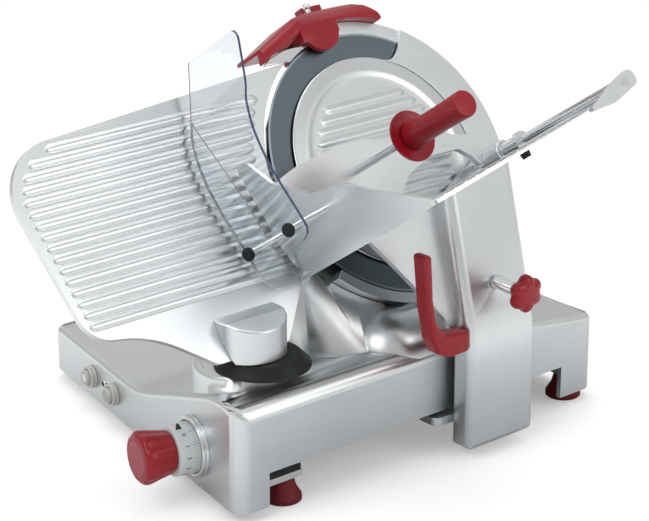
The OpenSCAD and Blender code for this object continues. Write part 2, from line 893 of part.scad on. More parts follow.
// Room behind the sharpener's left wing for the gauge plate as it moves back and up
module plate_room(top, front) {
    translate([-2 * sharp_reach, 0, sharp_back - overrun])
        cube([2 * sharp_reach + wing_clear_x, top, front - sharp_back + overrun]);
}

// Silver jaw of the sharpener over the blade's edge
module jaw_block() {
    translate([0, 0, ring_back]) linear_extrude(ring_front - ring_back + blade_t)
        polygon(concat(scaled(jaw_shares, sharp_reach, sharp_top),
            arc(blade_r + ring_in, jaw_from, jaw_to, 6)));
}

module sharpener_bracket() {
    color([0.76, 0.77, 0.79]) at_blade() difference() {
        jaw_block();
        plate_room(blade_r * 2, overrun * 1.2);
    }
}

// Everything behind the hood's rounded front, straight over the blade and turned along the left wing
module hood_front() {
    far = 2 * sharp_top;
    translate([wing_x, 0, 0]) rotate([90, 0, 90]) linear_extrude(far)
        polygon(rounded([[0, -far], [0, sharp_front], [sharp_top, sharp_front], [sharp_top, -far]],
            [0, 0, crown_round, 0]));
    translate([wing_x, wing_y, 0]) rotate([0, 0, wing_turn]) translate([-far, 0, 0]) rotate([90, 0, 90])
        linear_extrude(far) polygon(rounded([[-wing_h, -far], [-wing_h, sharp_front], [0, sharp_front],
            [0, -far]], [0, wing_round, wing_round, 0]));
}

module sharpener_hood() {
    top = scaled(hood_shares, sharp_reach, sharp_top);
    over_ring = arc(blade_r + ring_in + ring_w + 2 * seat_gap, hood_turn, ring_end, 6);
    over_blade = arc(blade_r + ring_in + gap, ring_end, jaw_from, 4);
    radii = concat(hood_round_shares * sharp_reach, [for (p = over_ring) 0], [for (p = over_blade) 0]);
    color([0.55, 0.1, 0.12]) at_blade() {
        difference() {
            intersection() {
                union() {
                    translate([0, 0, sharp_back]) linear_extrude(sharp_front - sharp_back)
                        polygon(rounded(concat(top, over_ring, over_blade), radii));
                    translate([sharp_x, sharp_y, sharp_front - 3 * ring_in])
                        cylinder(h = 3 * ring_in, r = sharp_r);
                }
                hood_front();
            }
            plate_room(wing_clear_y, ring_front);
            translate([sharp_x - 2 * stone_r - ring_in, blade_r - 2 * stone_r, sharp_back + stone_t])
                cube([4 * stone_r + 2 * ring_in, 2.6 * stone_r, 3 * stone_t]);
            translate([pin_x, blade_r, -lever_t]) rotate([-90, 0, 0])
                cylinder(h = blade_r, r = pin_r + running);
            translate([lever_x, sharp_top - lever_t, sharp_back + overrun + lever_t / 2]) rotate([-90, 0, 0])
                cylinder(h = blade_r, r = stem_r + running);
        }
        translate([sharp_x - 2 * stone_r, blade_r - stone_r, sharp_back])
            cube([4 * stone_r, 2.6 * stone_r, stone_t]);
    }
}

module sharpener_stones() {
    color([0.5, 0.48, 0.46]) at_blade() for (side = [-1, 1])
        translate([sharp_x + side * (stone_r + overrun), blade_r - stone_r / 2, sharp_back + stone_t])
            cylinder(h = stone_t, r = stone_r);
}

module sharpener_lever() {
    color([0.5, 0.08, 0.1]) at_blade()
        translate([lever_x, sharp_top + gap, sharp_back + overrun + lever_t / 2]) rotate([-90, 0, 0]) {
            translate([-lever_w / 2, -lever_t / 2, 0]) cube([lever_w, lever_t, lever_h]);
            translate([0, 0, -lever_h]) cylinder(h = 1.5 * lever_h, r = stem_r);
        }
}

module sharpener_pin() {
    color([0.8, 0.81, 0.82]) at_blade() translate([pin_x, sharp_top - pin_l, -lever_t]) rotate([-90, 0, 0]) {
        cylinder(h = 2 * pin_l - ball_r, r = pin_r);
        translate([0, 0, 2 * pin_l - ball_r]) sphere(r = ball_r, $fn = fine);
    }
}

// Left end of a rib at a height on the plate, following the plate's rounded left side
function rib_left(y) =
    let (top = plate_rise * 0.33, round_r = plate_reach * 0.125, inset = plate_reach * 0.02)
    y > top ? -plate_reach * 0.872 - sqrt(pow(round_r, 2) - pow(y - top, 2)) + inset
        : -plate_reach * 0.998 + inset + (top - y) * 0.16;

// Right end of a rib, clear of the blade
function rib_right(y) = -sqrt(pow(blade_r + blade_gap + rib_pitch, 2) - y * y);

module gauge_plate() {
    count = floor(2 * plate_rise * 0.75 / rib_pitch);
    color([0.8, 0.81, 0.82]) at_blade() {
        difference() {
            translate([0, 0, -plate_t]) linear_extrude(plate_t) polygon(plate_outline);
            translate([0, 0, -plate_t - overrun])
                cylinder(h = plate_t + 2 * overrun, r = blade_r + blade_gap);
        }
        for (i = [0 : count - 1]) {
            y = plate_rise * 0.75 - i * rib_pitch;
            translate([rib_left(y), y, rib_h - rib_r]) rotate([0, 90, 0])
                cylinder(h = rib_right(y) - rib_left(y), r = rib_r, $fn = fine);
        }
    }
}

// D-shaped pod in front of the plate, standing on the seal
module gauge_pod() {
    seal_top = boss_top + gap + seal_t;
    color([0.74, 0.75, 0.76]) difference() {
        translate([0, pod_y, seal_top]) linear_extrude(pod_top - seal_top)
            polygon(rounded([[blade_x, -pod_half], [pod_front, -pod_half], [pod_front, pod_half],
                [blade_x, pod_half]], [0, pod_round, pod_round, 0], smooth));
        at_blade() translate([-plate_reach, -plate_reach, -blade_r])
            cube([plate_reach, plate_reach, blade_r]);
        translate([seal_x, 0, pod_top]) rotate([0, pod_slope, 0])
            translate([blade_x, 0, 0]) cube([-2 * blade_x, base_len, pod_top]);
    }
}

// Rubber brim that slides over the boss with the pod
module gauge_seal() {
    color([0.1, 0.11, 0.12]) translate([seal_x, seal_y, boss_top + gap]) difference() {
        rotate_extrude() polygon([[0, 0], [seal_r, 0], [seal_r, seal_rim], [seal_r - seal_slope, seal_t],
            [0, seal_t]]);
        translate([stem_x - seal_x - stem_w / 2, boss_y - seal_y - stem_d / 2, -overrun])
            cube([stem_w, stem_d, seal_t * 2]);
    }
}

// Stem through the boss, slider on its rod and the pin that follows the snail
module gauge_slider() {
    block_z = gauge_rod_z - gauge_block_h / 2;
    color([0.6, 0.62, 0.64]) difference() {
        union() {
            difference() {
                translate([stem_x - stem_w / 2, boss_y - stem_d / 2, block_z])
                    cube([stem_w, stem_d, pod_top - block_z]);
                at_blade() translate([-plate_reach, -plate_reach, -plate_t])
                    cube([plate_reach, plate_reach, blade_r]);
            }
            translate([block_x - gauge_block_w / 2, boss_y - gauge_block_d / 2, block_z])
                cube([gauge_block_w, gauge_block_d, gauge_block_h]);
            on_face(knob_x, knob_z) translate([-cam_r - follower_r - gap, 0, -cam_depth]) {
                translate([0, 0, -follower_l / 3]) cylinder(h = follower_l, r = follower_r);
                translate([-follower_r, 0, -follower_l * 0.6])
                    cube([2 * follower_r, block_z - knob_z + follower_r, follower_l / 3]);
            }
        }
        rod_along_x(boss_y, gauge_rod_z, blade_x, 0, gauge_rod_r + running);
    }
}

// Slab that passes under the skirt and the block that slides on the rod
module carriage_foot() {
    width = arm_y1 - arm_y0;
    mid = (arm_y0 + arm_y1) / 2;
    color([0.7, 0.71, 0.73]) difference() {
        union() {
            translate([0, 0, arm_z0]) linear_extrude(arm_z1 - arm_z0)
                polygon(rounded([[rod_x - block_half, arm_y0], [column_gap, arm_y0], [column_gap, arm_y1],
                    [rod_x - block_half, arm_y1]], [0, arm_round, arm_round, 0]));
            translate([rod_x - block_half, arm_y0, arm_z1]) cube([2 * block_half, width, block_top - arm_z1]);
            translate([rail_x - rail_r - 3 * base_wall, mid - roller_r, arm_z1])
                cube([2 * base_wall, 2 * roller_r, rail_z + rail_r + 2 * roller_r - arm_z1]);
            rod_along_x(mid, rail_z + rail_r + roller_r + seat_gap, rail_x - rail_r - base_wall,
                rail_x + roller_w / 2, roller_r / 3);
        }
        rod_along_y(rod_x, rod_z, arm_y0 - overrun, arm_y1 + overrun, bush_out_r + running);
    }
}

module carriage_bushes() {
    color([0.72, 0.55, 0.28]) for (y = [arm_y0, arm_y1 - bush_l]) difference() {
        rod_along_y(rod_x, rod_z, y, y + bush_l, bush_out_r);
        rod_along_y(rod_x, rod_z, y - overrun, y + bush_l + overrun, rod_r + running);
    }
}

module roller() {
    mid = (arm_y0 + arm_y1) / 2;
    color([0.3, 0.31, 0.33]) difference() {
        rod_along_x(mid, rail_z + rail_r + roller_r + seat_gap, rail_x - roller_w / 2 + gap,
            rail_x + roller_w / 2, roller_r);
        rod_along_x(mid, rail_z + rail_r + roller_r + seat_gap, rail_x - roller_w,
            rail_x + roller_w, roller_r / 3 + running);
    }
}

// Section of the column, rounded at its four edges
function column_section() =
    let (r = column_round, t = column_t / 2)
    rounded([[-t, 0], [t, 0], [t, column_w], [-t, column_w]], [r, r, r, r]);

module column_bar(from, to) {
    translate([0, 0, from]) linear_extrude(to - from) polygon(column_section());
}

// Standing part of the column, a little narrower and rounded at its lower end
module column_stand() {
    t = column_t / 2;
    low = column_foot_z - bend_z;
    r = column_round;
    intersection() {
        column_bar(low, -bend_reach);
        translate([0, column_w + overrun, 0]) rotate([90, 0, 0]) linear_extrude(column_w + 2 * overrun)
            polygon(rounded([[-t - overrun, low], [t, low], [t, column_w], [-t - overrun, column_w]],
                [0, r, 0, 0]));
        translate([-column_t, 0, 0]) rotate([90, 0, 90]) linear_extrude(2 * column_t)
            polygon(rounded([[0, low], [column_w * column_low_share, low], [column_w, -bend_reach],
                [column_w, column_w], [0, column_w]], [r, r, 0, 0, 0]));
    }
}

// Curved part between the standing and the leaning part
module column_bend() {
    translate([-bend_r, 0, -bend_reach]) rotate([90, 0, 0]) rotate_extrude(angle = column_lean)
        polygon([for (p = column_section()) [bend_r + p[0], -p[1]]]);
}

// Leaning part of the column
module column_arm() {
    rotate([0, -column_lean, 0]) column_bar(bend_reach, web_rise * 1.15);
}

// Everything above the underside of the tray's floor
module above_tray() {
    at_tray() translate([-plate_reach, -sheet_t, -plate_reach])
        cube([2 * plate_reach, plate_reach, 3 * plate_reach]);
}

module column() {
    color([0.79, 0.8, 0.81]) difference() {
        union() {
            translate([column_gap + column_t / 2, column_y, bend_z]) {
                column_stand();
                column_bend();
                column_arm();
            }
            at_column_bend(web_x) linear_extrude(web_t)
                outline(web_shares, [0, 0.1, 0.3, 0.1, 0.03, 0, 0, 0], web_reach, web_rise);
        }
        above_tray();
        translate([column_gap, star_y, star_z]) rotate([0, 90, 0])
            cylinder(h = column_t * 2, r = stud_r + running);
    }
}

module grip_handle() {
    color([0.62, 0.13, 0.15]) translate([grip_x, grip_y, grip_z]) rotate([90, 0, 90]) linear_extrude(grip_t)
        outline(grip_shares, [0.05, 0.06, 0, 0.2, 0.15, 0, 0, 0.2, 0.12, 0.2, 0], grip_reach, grip_rise);
}

module star_knob() {
    face_x = column_gap + column_t - (star_z - bend_z) * tan(column_lean);
    color([0.62, 0.13, 0.15]) translate([face_x, star_y, star_z]) rotate([0, 90, 0]) {
        translate([0, 0, -column_t / 2]) cylinder(h = column_t / 2 + stud_l, r = stud_r);
        translate([0, 0, stud_l]) cylinder(h = star_r * 0.7, r = star_r * 0.72);
        for (a = [0 : 60 : 300])
            rotate([0, 0, a]) translate([star_r * 0.7, 0, stud_l + overrun])
                cylinder(h = star_r * 0.7 - 2 * overrun, r = star_r * 0.3);
    }
}

module tray() {
    color([0.8, 0.81, 0.83]) at_tray() {
        translate([sheet_t, 0, 0]) in_fence() linear_extrude(sheet_t)
            outline(fence_shares, fence_round_shares, floor_l, fence_h);
        in_floor() linear_extrude(sheet_t) polygon(floor_outline);
        for (i = [1 : floor(floor_w / floor_rib_pitch) - 1])
            translate([i * floor_rib_pitch, floor_rib_h - floor_rib_r, sheet_t])
                cylinder(h = floor_l * 0.985, r = floor_rib_r, $fn = fine);
        rod_lug(rod_end_n);
        rod_lug(seat_gap);
    }
}

// Lug that reaches from the floor's far edge round the end of the guide rod
module rod_lug(n) {
    root_f = floor_w - 2 * lug_r;
    tip = [for (p = lug_shares) [rod_f, rod_g] + p * lug_r];
    translate([0, 0, n]) difference() {
        linear_extrude(n > lug_r ? lug_t : lug_t * 0.8)
            polygon(rounded(concat([[root_f, -sheet_t], [root_f, 0], [floor_w, rod_g * 1.5]], tip),
                [0, 0, lug_r / 2, lug_r / 2, lug_r / 2, lug_r / 4]));
        if (n < lug_r) translate([rod_f, rod_g, -overrun]) cylinder(h = 2 * lug_t, r = guide_r + seat_gap);
        if (n > lug_r) translate([rod_f, rod_g, -overrun]) cylinder(h = 2 * lug_t, r = stud_r / 2 + seat_gap);
    }
}

module guide_rod() {
    color([0.82, 0.83, 0.84]) at_tray() translate([rod_f, rod_g, seat_gap])
        cylinder(h = rod_end_n - 2 * seat_gap, r = guide_r);
}

module guide_rod_screw() {
    color([0.7, 0.71, 0.72]) at_tray() translate([rod_f, rod_g, rod_end_n]) {
        cylinder(h = lug_t, r = stud_r / 2);
        translate([0, 0, lug_t]) cylinder(h = overrun, r = stud_r);
    }
}

module tray_bumper() {
    color([0.08, 0.08, 0.09]) at_tray() translate([floor_w * 0.93, -sheet_t, floor_l * 0.55])
        rotate([90, 0, 0]) cylinder(h = 2 * sheet_t, r1 = stud_r + overrun, r2 = stud_r);
}

module hand_guard() {
    curve = scaled(guard_shares, guard_off, guard_top);
    side = [[0, guard_low], [guard_n, guard_low * 1.3], [guard_n, guard_top + overrun],
        [guard_n * 0.12, guard_top + overrun], [0, guard_top * 0.775]];
    color([0.75, 0.85, 0.9, 0.4]) at_tray() {
        difference() {
            intersection() {
                linear_extrude(guard_n + overrun)
                    polygon(concat(curve, [for (i = [len(curve) - 1 : -1 : 0]) curve[i] + [guard_t, 0]]));
                translate([guard_off, 0, overrun / 2]) in_fence() linear_extrude(3 * guard_off)
                    polygon(rounded(side, [0, guard_round, 0, 0, 0]));
            }
            guard_bolts(guard_stud_r + seat_gap, guard_off * 2);
        }
        translate([0, 0, overrun / 2]) linear_extrude(guard_t)
            polygon(scaled(panel_shares, guard_off, guard_top));
    }
}

// Cylinders across the gap between the guard and the fence, at the places of the two bolts
module guard_bolts(r, l) {
    for (n = [stud_n_a, stud_n_b])
        translate([0, stud_g, n]) rotate([0, -90, 0]) cylinder(h = l, r = r);
}

module guard_studs() {
    color([0.78, 0.79, 0.8]) at_tray() guard_bolts(guard_stud_r, guard_off + cap_l / 2);
}

module guard_caps() {
    color([0.08, 0.08, 0.09]) at_tray() for (n = [stud_n_a, stud_n_b])
        translate([-guard_off * 1.01, stud_g, n]) rotate([0, -90, 0]) difference() {
            rotate_extrude() polygon([[0, 0], [cap_r * 0.85, 0], [cap_r, cap_l * 0.2], [cap_r, cap_l * 0.6],
                [cap_r * 0.85, cap_l * 0.85], [cap_r * 0.5, cap_l], [0, cap_l]]);
            translate([0, 0, -overrun]) cylinder(h = cap_l / 2 + overrun, r = guard_stud_r + seat_gap);
        }
}

module pusher_sleeve() {
    color([0.3, 0.31, 0.33]) at_tray() translate([rod_f, rod_g, sleeve_n]) difference() {
        union() {
            cylinder(h = sleeve_l, r = sleeve_r);
            translate([0, 0, sleeve_l - lug_t]) cylinder(h = lug_t, r = pusher_hub_r * 0.9);
        }
        translate([0, 0, -overrun]) cylinder(h = sleeve_l + 2 * overrun, r = guide_r + running);
    }
}

module pusher_plate() {
    color([0.76, 0.77, 0.79]) at_tray() {
        difference() {
            translate([0, 0, pusher_n]) linear_extrude(pusher_t)
                outline(pusher_shares, [0.01, 0.03, 0.05, 0.1, 0.1, 0.2, 0.2, 0.05, 0.02, 0, 0, 0, 0.03,
                    0.1, 0.05, 0.03, 0.01], pusher_reach, pusher_top);
            translate([rod_f, rod_g, pusher_n - overrun])
                cylinder(h = 2 * pusher_t, r = pusher_hub_r + seat_gap);
            translate([rod_f - sleeve_r - 2 * gap, rod_g, pusher_n - overrun])
                rotate([0, 0, -pusher_end_turn]) translate([0, -pusher_top, 0])
                cube([pusher_reach, 3 * pusher_top, 2 * pusher_t]);
            translate([handle_f, handle_g, pusher_n - overrun])
                cylinder(h = 2 * pusher_t, r = handle_rod_r * 0.6 + seat_gap);
        }
        for (f = [1 : 4], g = [0.25, 0.55])
            translate([f * handle_f * 0.28, g * pusher_top, pusher_n - spike_h])
                cylinder(h = spike_h, r1 = spike_r * 0.3, r2 = spike_r);
    }
}

// Hub of the pusher plate, which turns on the sleeve
module pusher_hub() {
    color([0.76, 0.77, 0.79]) at_tray() translate([rod_f, rod_g, pusher_n]) difference() {
        cylinder(h = pusher_hub_l, r = pusher_hub_r);
        translate([0, 0, -overrun]) cylinder(h = pusher_hub_l + 2 * overrun, r = sleeve_r + running);
    }
}

module pusher_rod() {
    color([0.82, 0.83, 0.84]) at_tray() translate([handle_f, handle_g, pusher_n]) {
        cylinder(h = pusher_t, r = handle_rod_r * 0.6);
        translate([0, 0, pusher_t]) cylinder(h = handle_rod_l + handle_l * 0.7, r = handle_rod_r);
    }
}

module hand_shield() {
    color([0.62, 0.13, 0.15]) at_tray()
        translate([handle_f, handle_g, pusher_n + pusher_t + handle_rod_l - shield_t]) difference() {
            rotate_extrude() polygon([[0, 0], [shield_r * 0.7, 0], [shield_r, shield_t * 0.7],
                [shield_r, shield_t], [shield_r * 0.95, shield_t], [shield_r * 0.6, shield_t * 0.6],
                [0, shield_t * 0.6]]);
            translate([0, 0, -overrun]) cylinder(h = 2 * shield_t, r = handle_rod_r + seat_gap);
        }
}

module pusher_handle() {
    color([0.62, 0.13, 0.15]) at_tray()
        translate([handle_f, handle_g, pusher_n + pusher_t + handle_rod_l - shield_t * 0.4]) difference() {
            rotate_extrude() polygon([[0, 0], [handle_r * 0.85, 0], [handle_r, handle_r * 0.3],
                [handle_r * 0.94, handle_l * 0.5], [handle_r, handle_l * 0.9],
                [handle_r * 0.9, handle_l * 0.97], [handle_r * 0.7, handle_l], [0, handle_l]]);
            translate([0, 0, -overrun]) cylinder(h = handle_l * 0.75 + shield_t, r = handle_rod_r + seat_gap);
        }
}

at_datum() base_casting();
at_datum() blade_head();
at_datum() rod_brackets();
at_datum() bottom_plate();
at_datum() foot_plates();
at_datum() foot_spacers();
at_datum() foot_front_right();
at_datum() foot_front_left();
at_datum() foot_rear_right();
at_datum() foot_rear_left();
at_datum() cable_gland();
at_datum() start_bezel();
at_datum() stop_bezel();
at_datum() pilot_light();
at_datum() index_ring();
at_datum() knob_bush();
at_datum() gauge_guide_rod();
at_datum() carriage_rod();
at_datum() roller_rail();
at_datum() bearing_front();
at_datum() bearing_rear();
at_datum() ring_guard();
at_datum() blade_cover();
at_datum() slice_deflector();
at_datum() sharpener_bracket();
at_datum() sharpener_hood();
at_datum() sharpener_stones();
at_datum() start_button();
at_datum() stop_button();
at_datum() thickness_knob();
at_datum() thickness_dial();
at_datum() knob_shaft();
at_datum() gauge_plate();
at_datum() gauge_pod();
at_datum() gauge_seal();
at_datum() gauge_slider();
at_datum() blade();
at_datum() blade_hub();
at_datum() sharpener_lever();
at_datum() sharpener_pin();
at_datum() carriage_foot();
at_datum() carriage_bushes();
at_datum() column();
at_datum() grip_handle();
at_datum() tray();
at_datum() guide_rod();
at_datum() guide_rod_screw();
at_datum() tray_bumper();
at_datum() hand_guard();
at_datum() guard_studs();
at_datum() guard_caps();
at_datum() roller();
at_datum() star_knob();
at_datum() pusher_sleeve();
at_datum() pusher_plate();
at_datum() pusher_hub();
at_datum() pusher_rod();
at_datum() hand_shield();
at_datum() pusher_handle();
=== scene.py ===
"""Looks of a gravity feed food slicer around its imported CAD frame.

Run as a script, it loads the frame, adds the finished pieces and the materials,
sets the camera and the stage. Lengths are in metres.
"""

import json
import math

import bmesh
import bpy
import numpy as np
from bpy.props import FloatProperty, FloatVectorProperty, IntProperty, PointerProperty
from bpy.types import Operator, Panel, PropertyGroup
from mathutils import Matrix, Vector


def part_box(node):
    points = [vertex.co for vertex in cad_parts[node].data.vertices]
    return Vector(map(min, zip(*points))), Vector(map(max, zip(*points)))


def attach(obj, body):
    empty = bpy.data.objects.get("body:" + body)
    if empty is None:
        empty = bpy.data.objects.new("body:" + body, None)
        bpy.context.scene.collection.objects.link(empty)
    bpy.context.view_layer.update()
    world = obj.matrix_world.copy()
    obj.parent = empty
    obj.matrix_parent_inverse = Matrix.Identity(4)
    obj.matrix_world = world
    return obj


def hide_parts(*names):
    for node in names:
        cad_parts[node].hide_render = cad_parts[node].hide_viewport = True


bl_info = {
    "name": "Gravity feed food slicer",
    "version": (1, 0, 0),
    "blender": (4, 5, 0),
    "location": "View3D > Sidebar > Slicer",
    "description": "Finishes and fittings of a food slicer with a leaning round blade",
    "category": "Object",
}

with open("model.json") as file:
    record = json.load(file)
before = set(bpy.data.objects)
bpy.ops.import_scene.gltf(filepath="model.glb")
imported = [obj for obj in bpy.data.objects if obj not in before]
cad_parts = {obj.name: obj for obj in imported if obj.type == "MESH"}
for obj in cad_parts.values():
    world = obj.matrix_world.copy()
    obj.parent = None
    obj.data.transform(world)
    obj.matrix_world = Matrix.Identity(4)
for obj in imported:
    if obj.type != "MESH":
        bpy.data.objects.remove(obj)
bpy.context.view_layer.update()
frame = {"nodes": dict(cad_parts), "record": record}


def low(node):
    """Lowest corner of a CAD node as an array."""
    return np.array(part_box(node)[0], float)


def high(node):
    """Highest corner of a CAD node as an array."""
    return np.array(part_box(node)[1], float)


BASE_L = 0.518
# The corner of the base nearest the tray and the operator, from which the machine is laid out.
CORNER = np.array([high("base_casting")[0], high("base_casting")[1] - BASE_L, 0.0])
LEAN = math.radians(34.5)
TILT = math.radians(11.0)
FACE_TURN = math.radians(10.5)
BLADE = CORNER + np.array([-0.1425, 0.3244, 0.289])
# The tray's own corner, in the blade's axes.
TRAY = (-0.1733, -0.0979, 0.0075)
# The gauge plate from the blade's axis: its length, half its height and the radius of its round edge.
PLATE_L = 0.463
PLATE_H = 0.135
PLATE_ARC = 0.1555
# The places on the operator's face: the knob's axis, the two buttons and the pilot light.
KNOB_SPOT = (-0.091, 0.0565)
BUTTON_SPOTS = ((-0.343, 0.038, "start", "white"), (-0.287, 0.038, "stop", "grey"))
PILOT_SPOT = (-0.312, 0.041)
# In the tray's axes: the foot of the pusher's handle, and the caps of the guard's two bolts.
PUSHER_FOOT = (0.112, 0.068, 0.0)
GUARD_CAPS = {"near": (-0.0475, 0.048, 0.012), "far": (-0.0475, 0.048, 0.091)}


def at_blade(x, y, n):
    """Blade axes to the machine's: x along the travel, y up the plate, n out of the plate."""
    x, y, n = (np.asarray(v, float) for v in (x, y, n))
    return np.stack(
        np.broadcast_arrays(
            BLADE[0] - y * math.sin(LEAN) + n * math.cos(LEAN),
            BLADE[1] + x,
            BLADE[2] + y * math.cos(LEAN) + n * math.sin(LEAN),
        ),
        axis=-1,
    )


def at_tray(f, g, n):
    """Tray axes to the machine's: f across the floor, g up the fence, n away from the blade."""
    f, g, n = (np.asarray(v, float) for v in (f, g, n))
    return at_blade(
        TRAY[0] + f * math.cos(TILT) - g * math.sin(TILT),
        TRAY[1] + f * math.sin(TILT) + g * math.cos(TILT),
        TRAY[2] + n,
    )


def at_face(x, z):
    """Point of the operator's face and its axes: right, up and out of the face."""
    point = CORNER + np.array([x, -x * math.tan(FACE_TURN), z])
    right = np.array([math.cos(FACE_TURN), -math.sin(FACE_TURN), 0.0])
    out = np.array([-math.sin(FACE_TURN), -math.cos(FACE_TURN), 0.0])
    return point, right, np.array([0.0, 0.0, 1.0]), out


def tint(name, about, colour):
    """A colour that can be set in the panel."""
    return FloatVectorProperty(name=name, description=about, default=colour, subtype="COLOR", size=3)


def measure(name, about, value, least, most):
    """A length that can be set in the panel."""
    return FloatProperty(name=name, description=about, default=value, min=least, max=most, unit="LENGTH")


class PhotoView(PropertyGroup):
    """The camera that sees the machine as the photograph does."""

    lens: FloatProperty(
        name="Lens", description="Focal length on a 36 mm wide sensor", default=133.13, unit="CAMERA"
    )
    place: FloatVectorProperty(
        name="Place",
        description="Camera place from the base's corner",
        default=(1.7230, -1.3452, 1.1186),
        subtype="TRANSLATION",
    )


class Finish(PropertyGroup):
    """Colours and finishes of the machine."""

    casting: tint("Casting", "Satin aluminium", (0.76, 0.78, 0.79))
    steel: tint("Bright steel", "Rods, studs and screws", (0.80, 0.81, 0.82))
    blade: tint("Blade", "Ground blade steel", (0.15, 0.18, 0.20))
    red: tint("Red plastic", "Handles, knobs and hood", (0.27, 0.007, 0.014))
    black: tint("Black", "Caps, brim and gland", (0.009, 0.011, 0.012))
    clear: tint("Clear guard", "Tint of the clear guard", (0.93, 0.96, 0.98))
    grain: measure("Brushing", "Spacing of the brush lines", 0.0006, 0.0002, 0.003)


class Fittings(PropertyGroup):
    """Sizes of the finished pieces."""

    edge: measure("Casting edge", "Rounding of the castings' edges", 0.0015, 0.0, 0.004)
    guard_t: measure("Guard thickness", "Thickness of the clear guard", 0.003, 0.002, 0.004)
    dial_marks: IntProperty(name="Dial marks", description="Marks round the dial", default=60, min=30, max=90)
    dial_r: measure("Dial radius", "Radius of the dial's barrel under its numbers", 0.0272, 0.02, 0.03)


class Sock:
    """A node socket or a number, so that shader maths reads as plain expressions."""

    def __init__(self, web, value):
        self.web = web
        self.value = value

    def _math(self, kind, *others):
        values = [self.value] + [o.value if isinstance(o, Sock) else o for o in others]
        return self.web.node("ShaderNodeMath", {"operation": kind}, dict(enumerate(values)))

    def __add__(self, other):
        return self._math("ADD", other)

    def __mul__(self, other):
        return self._math("MULTIPLY", other)

    def __sub__(self, other):
        return self._math("SUBTRACT", other)

    def __rsub__(self, other):
        return Sock(self.web, other)._math("SUBTRACT", self)

    def sqrt(self):
        return self._math("SQRT")

    def absolute(self):
        return self._math("ABSOLUTE")

    def fraction(self):
        return self._math("FRACT")

    def arctan(self, other):
        return self._math("ARCTAN2", other)

    def clamped(self):
        return self.web.node("ShaderNodeClamp", {}, {0: self.value})

    def above(self, edge, soft):
        """Zero below edge, one above edge + soft, and even between."""
        return ((self - edge) * (1.0 / soft)).clamped()


class Web:
    """A node tree of a material or of the world, and one method that makes any node in it."""

    def __init__(self, tree):
        self.tree = tree

    def node(self, kind, settings, values, out=0):
        """Makes a node: its settings first, then the values or links of its sockets."""
        node = self.tree.nodes.new(kind)
        for key, value in settings.items():
            if key == "stops":
                ramp = node.color_ramp
                while len(ramp.elements) < len(value):
                    ramp.elements.new(0.5)
                for element, (place, colour) in zip(ramp.elements, value):
                    element.position = place
                    element.color = (*colour, 1.0)
            else:
                setattr(node, key, value)
        for key, value in values.items():
            target = node.inputs[key]
            if isinstance(value, Sock):
                value = value.value
            if isinstance(value, bpy.types.NodeSocket):
                self.tree.links.new(value, target)
            else:
                target.default_value = value
        return Sock(self, node.outputs[out]) if node.outputs else None

    def split(self, vector):
        """The three numbers of a vector."""
        node = self.tree.nodes.new("ShaderNodeSeparateXYZ")
        self.tree.links.new(vector.value, node.inputs[0])
        return [Sock(self, o) for o in node.outputs]


class Paint(Web):
    """A material with one principled shader."""

    def __init__(self, name, **constants):
        self.mat = bpy.data.materials.new(name)
        self.mat.use_nodes = True
        super().__init__(self.mat.node_tree)
        self.shader = self.tree.nodes["Principled BSDF"]
        for key, value in constants.items():
            self.set(key.replace("_", " "), value)

    def set(self, socket, value):
        """Sets a constant on the shader's own socket, or links a varying value to it."""
        target = self.shader.inputs[socket]
        if isinstance(value, Sock):
            self.tree.links.new(value.value, target)
        elif isinstance(value, (tuple, list)) and len(value) == 3:
            target.default_value = (*value, 1.0)
        else:
            target.default_value = value

    def coords(self, turn=(0, 0, 0), centre=(0, 0, 0), scale=(1, 1, 1)):
        """Object coordinates, moved to a centre and turned into a piece's own axes."""
        place = self.node("ShaderNodeTexCoord", {}, {}, out="Object")
        moved = self.node("ShaderNodeVectorMath", {"operation": "SUBTRACT"}, {0: place, 1: tuple(centre)})
        turned = self.node(
            "ShaderNodeVectorRotate",
            {"rotation_type": "EULER_XYZ", "invert": True},
            {"Vector": moved, "Rotation": turn},
        )
        return self.node("ShaderNodeVectorMath", {"operation": "MULTIPLY"}, {0: turned, 1: tuple(scale)})

    def noise(self, vector, scale, detail=3.0, rough=0.5):
        """Cloudy values between 0 and 1."""
        values = {"Vector": vector, "Scale": scale, "Detail": detail, "Roughness": rough}
        return self.node("ShaderNodeTexNoise", {}, values)

    def mixed(self, share, a, b):
        """A colour between a and b."""
        node = self.tree.nodes.new("ShaderNodeMix")
        node.data_type = "RGBA"
        for index, value in ((0, share), (6, a), (7, b)):
            target = node.inputs[index]
            if isinstance(value, Sock):
                self.tree.links.new(value.value, target)
            else:
                target.default_value = (*value, 1.0) if isinstance(value, (tuple, list)) else value
        return Sock(self, node.outputs[2])

    def bump(self, height, strength, distance):
        """Relief of the surface from a height value."""
        normal = self.node(
            "ShaderNodeBump", {}, {"Height": height, "Strength": strength, "Distance": distance}, out="Normal"
        )
        self.set("Normal", normal)


def brushed(name, colour, turn, centre=(0, 0, 0), rough=0.34, spread=0.10, lines=0.0006, relief=0.25):
    """Metal brushed along its own X: noise stretched along X in tone, roughness and relief."""
    paint = Paint(name, Metallic=1.0)
    across = 1.0 / lines
    base = paint.coords(turn, centre, (across * 0.012, across * 0.5, across * 0.5))
    fine = paint.noise(base, 1.0, 4.0, 0.6)
    broad = paint.noise(paint.coords(turn, centre), 9.0, 2.0)
    dark = tuple(c * 0.86 for c in colour)
    paint.set("Base Color", paint.mixed((fine * 0.55 + broad * 0.45).above(0.25, 0.5), dark, colour))
    paint.set("Roughness", fine * spread + broad * spread * 0.6 + (rough - spread * 0.8))
    paint.bump(fine, relief, 0.00004)
    return paint.mat


